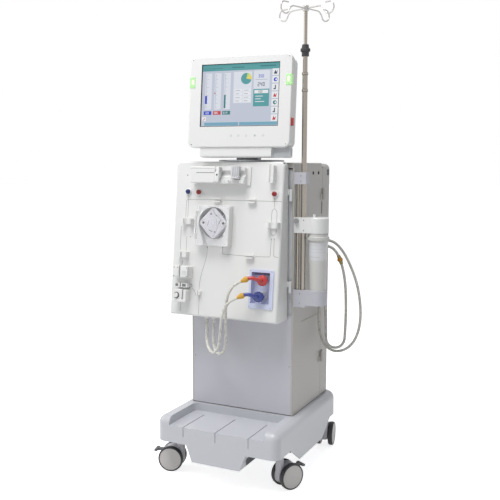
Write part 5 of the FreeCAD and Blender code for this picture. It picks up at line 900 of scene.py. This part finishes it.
for index, z in enumerate((1471.4, 1480.6, 1531.4, 1540.6)):
    seam = turned([(9.3, z - 0.6), (9.75, z - 0.6), (9.75, z + 0.6), (9.3, z + 0.6), (9.3, z - 0.6)], 40)
    piece(f"pole_seam_{index}", seam, POLE, "chassis", dark_seam_and_gap_shade)
FRONT = MACHINE @ turn(90, "X")
screws("bracket_screw", ((246, 1168, 4), (246, 1148, 4), (246, 728, 4), (246, 692, 4), (259, 1004, 4),
                         (259, 966, 4)), FRONT, "chassis", 2.6, 1.4)


# Filter: a white cartridge with a ribbed cap ring, pushed up into its holder and resting in the
# lower cup. A plain label is wrapped round its upper half.
filter_white = coating("filter_white", tone(204, 204, 200), rough=0.36, mottle=0.02, grain=0.1)
label_film = coating("label_film", tone(216, 217, 218), rough=0.22, mottle=0.02)
dress(filter_white, "filter_canister")
FILTER = MACHINE @ shift(304, 32, 0)
RIB_COUNT = 36
cap_ribs = [slab(rounded(39.2, 41.2, -1.2, 1.2, 0.6, 3), 932, 942, 0.4) for _ in range(RIB_COUNT)]
for index, rib in enumerate(cap_ribs):
    bmesh.ops.rotate(rib, verts=rib.verts, matrix=Matrix.Rotation(math.tau * index / RIB_COUNT, 3, "Z"))
piece("filter_cap_ribs", cap_ribs, FILTER, "chassis", filter_white)


def wrapped(z0, z1, start, end, lift, steps=20):
    """Thin sheet round the cartridge, which widens by 4.5 mm over 179 mm, between two bearings."""
    shape = bmesh.new()
    rows = []
    for k in range(steps + 1):
        bearing = math.radians(start + (end - start) * k / steps)
        spots = [(*around(0, 0, 30.5 + (z - 749) * 4.5 / 179 + out, bearing), z)
                 for z, out in ((z0, -0.2), (z0, lift), (z1, lift), (z1, -0.2))]
        rows.append([shape.verts.new(spot) for spot in spots])
    return skinned(shape, rows)


piece("filter_label", wrapped(856, 922, -150, 20, 0.15), FILTER, "chassis", label_film)
rules = [wrapped(z, z + 1.2, -132, end, 0.22, 8)
         for z, end in ((912, -22), (898, -36), (886, -22), (868, -62))]
piece("filter_label_rules", rules, FILTER, "chassis", line_print)


# Rear fittings: grey ports that the water and drain hoses push onto, and a coupling of amber
# plastic in the water hose, with a rubber sleeve on each side of it.
amber_plastic = coating("amber_plastic", tone(184, 128, 44), rough=0.3, mottle=0.08, grain=0.1)
sleeve_rubber = coating("sleeve_rubber", tone(158, 142, 98), rough=0.55, mottle=0.08, grain=0.25)
dress(knob_plastic, "hose_ports")
dress(amber_plastic, "hose_coupling")
COUPLING = aimed((312.5, 260, 831), (320, 261, 812))
collar = turned([(8.98, -5.6), (10.4, -4.6), (11.2, -2), (11.2, 2), (10.4, 4.6), (8.98, 5.6),
                 (8.98, -5.6)], 36)
piece("hose_coupling_collar", collar, COUPLING, "chassis", amber_plastic)
SLEEVE = [(5.9, 5.9), (8, 5.9), (8.3, 7), (7.2, 13), (7.5, 14), (6.9, 18.4), (6.5, 18.8), (5.9, 18.8),
          (5.9, 5.9)]
for name, way in (("upper", 180), ("lower", 0)):
    piece(f"hose_sleeve_{name}", turned(SLEEVE, 36), COUPLING @ turn(way, "X"), "chassis", sleeve_rubber)


# Panel fittings: two sockets near the top of the right side, two screws in the edges of the front
# panel, and a dark line of painted shade in the gap where each panel stands on the base cover.
SOCKET = [(0, -2.4), (6.8, -2.4), (6.9, 0.9), (6, 1.4), (4.8, 0.7), (4.2, -1.2), (0, -1.2)]
CABINET_HALF = 220
RIGHT_SIDE = MACHINE @ shift(CABINET_HALF, 0, 0) @ turn(90, "Z") @ turn(90, "X")
LEFT_SIDE = MACHINE @ shift(-CABINET_HALF, 0, 0) @ turn(-90, "Z") @ turn(90, "X")
for index, y in enumerate((190, 249)):
    spot = MACHINE @ shift(CABINET_HALF, y, 1176) @ turn(90, "Y")
    piece(f"panel_socket_{index}", turned(SOCKET, 32), spot, "chassis", black_parts_and_shade)
screws("front_panel_screw", ((-205, 442, -0.8), (205, 442, -0.8)), FRONT, "chassis", 2.8, 1.6)


def behind_front(corner):
    """How far a corner lies behind the cabinet's front, in millimetres."""
    return (corner.y - ZERO.y) * 1000


def foot_gap_shade(name, node, face, start, end, out):
    """Painted shade of the gap along a panel's foot, between two places on that face."""
    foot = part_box(node)[0].z * 1000
    line = slab(square(start, end, foot, foot + 2), out - 0.3, out + 0.2)
    piece(name, line, face, "chassis", dark_seam_and_gap_shade)


low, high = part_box("lower_front_panel")
foot_gap_shade("front_foot_seam", "lower_front_panel", FRONT, -218, 218, -behind_front(low))
low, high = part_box("left_side_panel")
near, far = behind_front(low) + 3, behind_front(high) - 3
foot_gap_shade("right_foot_seam", "right_side_panel", RIGHT_SIDE, near, far, 0)
foot_gap_shade("left_foot_seam", "left_side_panel", LEFT_SIDE, -far, -near, 0)


# Wheel wells: walls under the base cover beside and behind each front caster, dark grey as painted shade.
# They are screwed up into the cover and keep the cables off the wheels.
well_painted_shade = coating("well_painted_shade", tone(92, 92, 95), rough=0.6, mottle=0.06, grain=0.3)
WELL_FOOT, WELL_TOP = 104, 168
for name, side in (("left", -1), ("right", 1)):
    beside = sorted((114 * side, 117 * side))
    behind = sorted((117 * side, 216 * side))
    walls = [slab(square(*beside, -186, 2), WELL_FOOT, WELL_TOP),
             slab(square(*behind, -1, 2), WELL_FOOT, WELL_TOP)]
    piece(f"wheel_well_{name}", walls, MACHINE, "chassis", well_painted_shade)


# Rear door: moulded like the sides and hung on two hinges, with a row of louvres low on it that
# let the warm air out, a small grille at its upper edge and a screw in each corner.
BACK = MACHINE @ shift(0, behind_front(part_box("rear_door")[1]), 0) @ turn(180, "Z") @ turn(90, "X")
LOUVRES = range(300, 420, 13)
hoods = [slab(rounded(-75, 75, z, z + 6, 2.8), -0.4, 2.6, 1.4) for z in LOUVRES]
piece("rear_louvre_hoods", hoods, BACK, "rear_door", side_plastic)
# Under each hood a black strip is painted shade of the louvre's opening.
gaps = [slab(rounded(-72, 72, z - 3.4, z + 0.6, 1.8), -0.3, 0.4) for z in LOUVRES]
piece("rear_louvre_gaps", gaps, BACK, "rear_door", black_parts_and_shade)
# The grille's black cells are painted shade of its openings, and the grey plate round them is painted shade
# too.
grille = [slab(rounded(x, x + 7, z, z + 7, 1), -3.2, 0.9) for x in (352.5, 363.5) for z in (1168.5, 1179.5)]
piece("rear_grille", grille, RIGHT_SIDE, "rear_door", black_parts_and_shade)
plate = slab(rounded(346, 374, 1165, 1190, 3), -0.4, 0.5, 0.3)
piece("rear_grille_plate", plate, RIGHT_SIDE, "rear_door", slot_and_grille_shade)
screws("rear_door_screw", [(x, z, 0) for z in (1130, 300) for x in (-190, 190)], BACK, "rear_door", 3.2, 1.4)
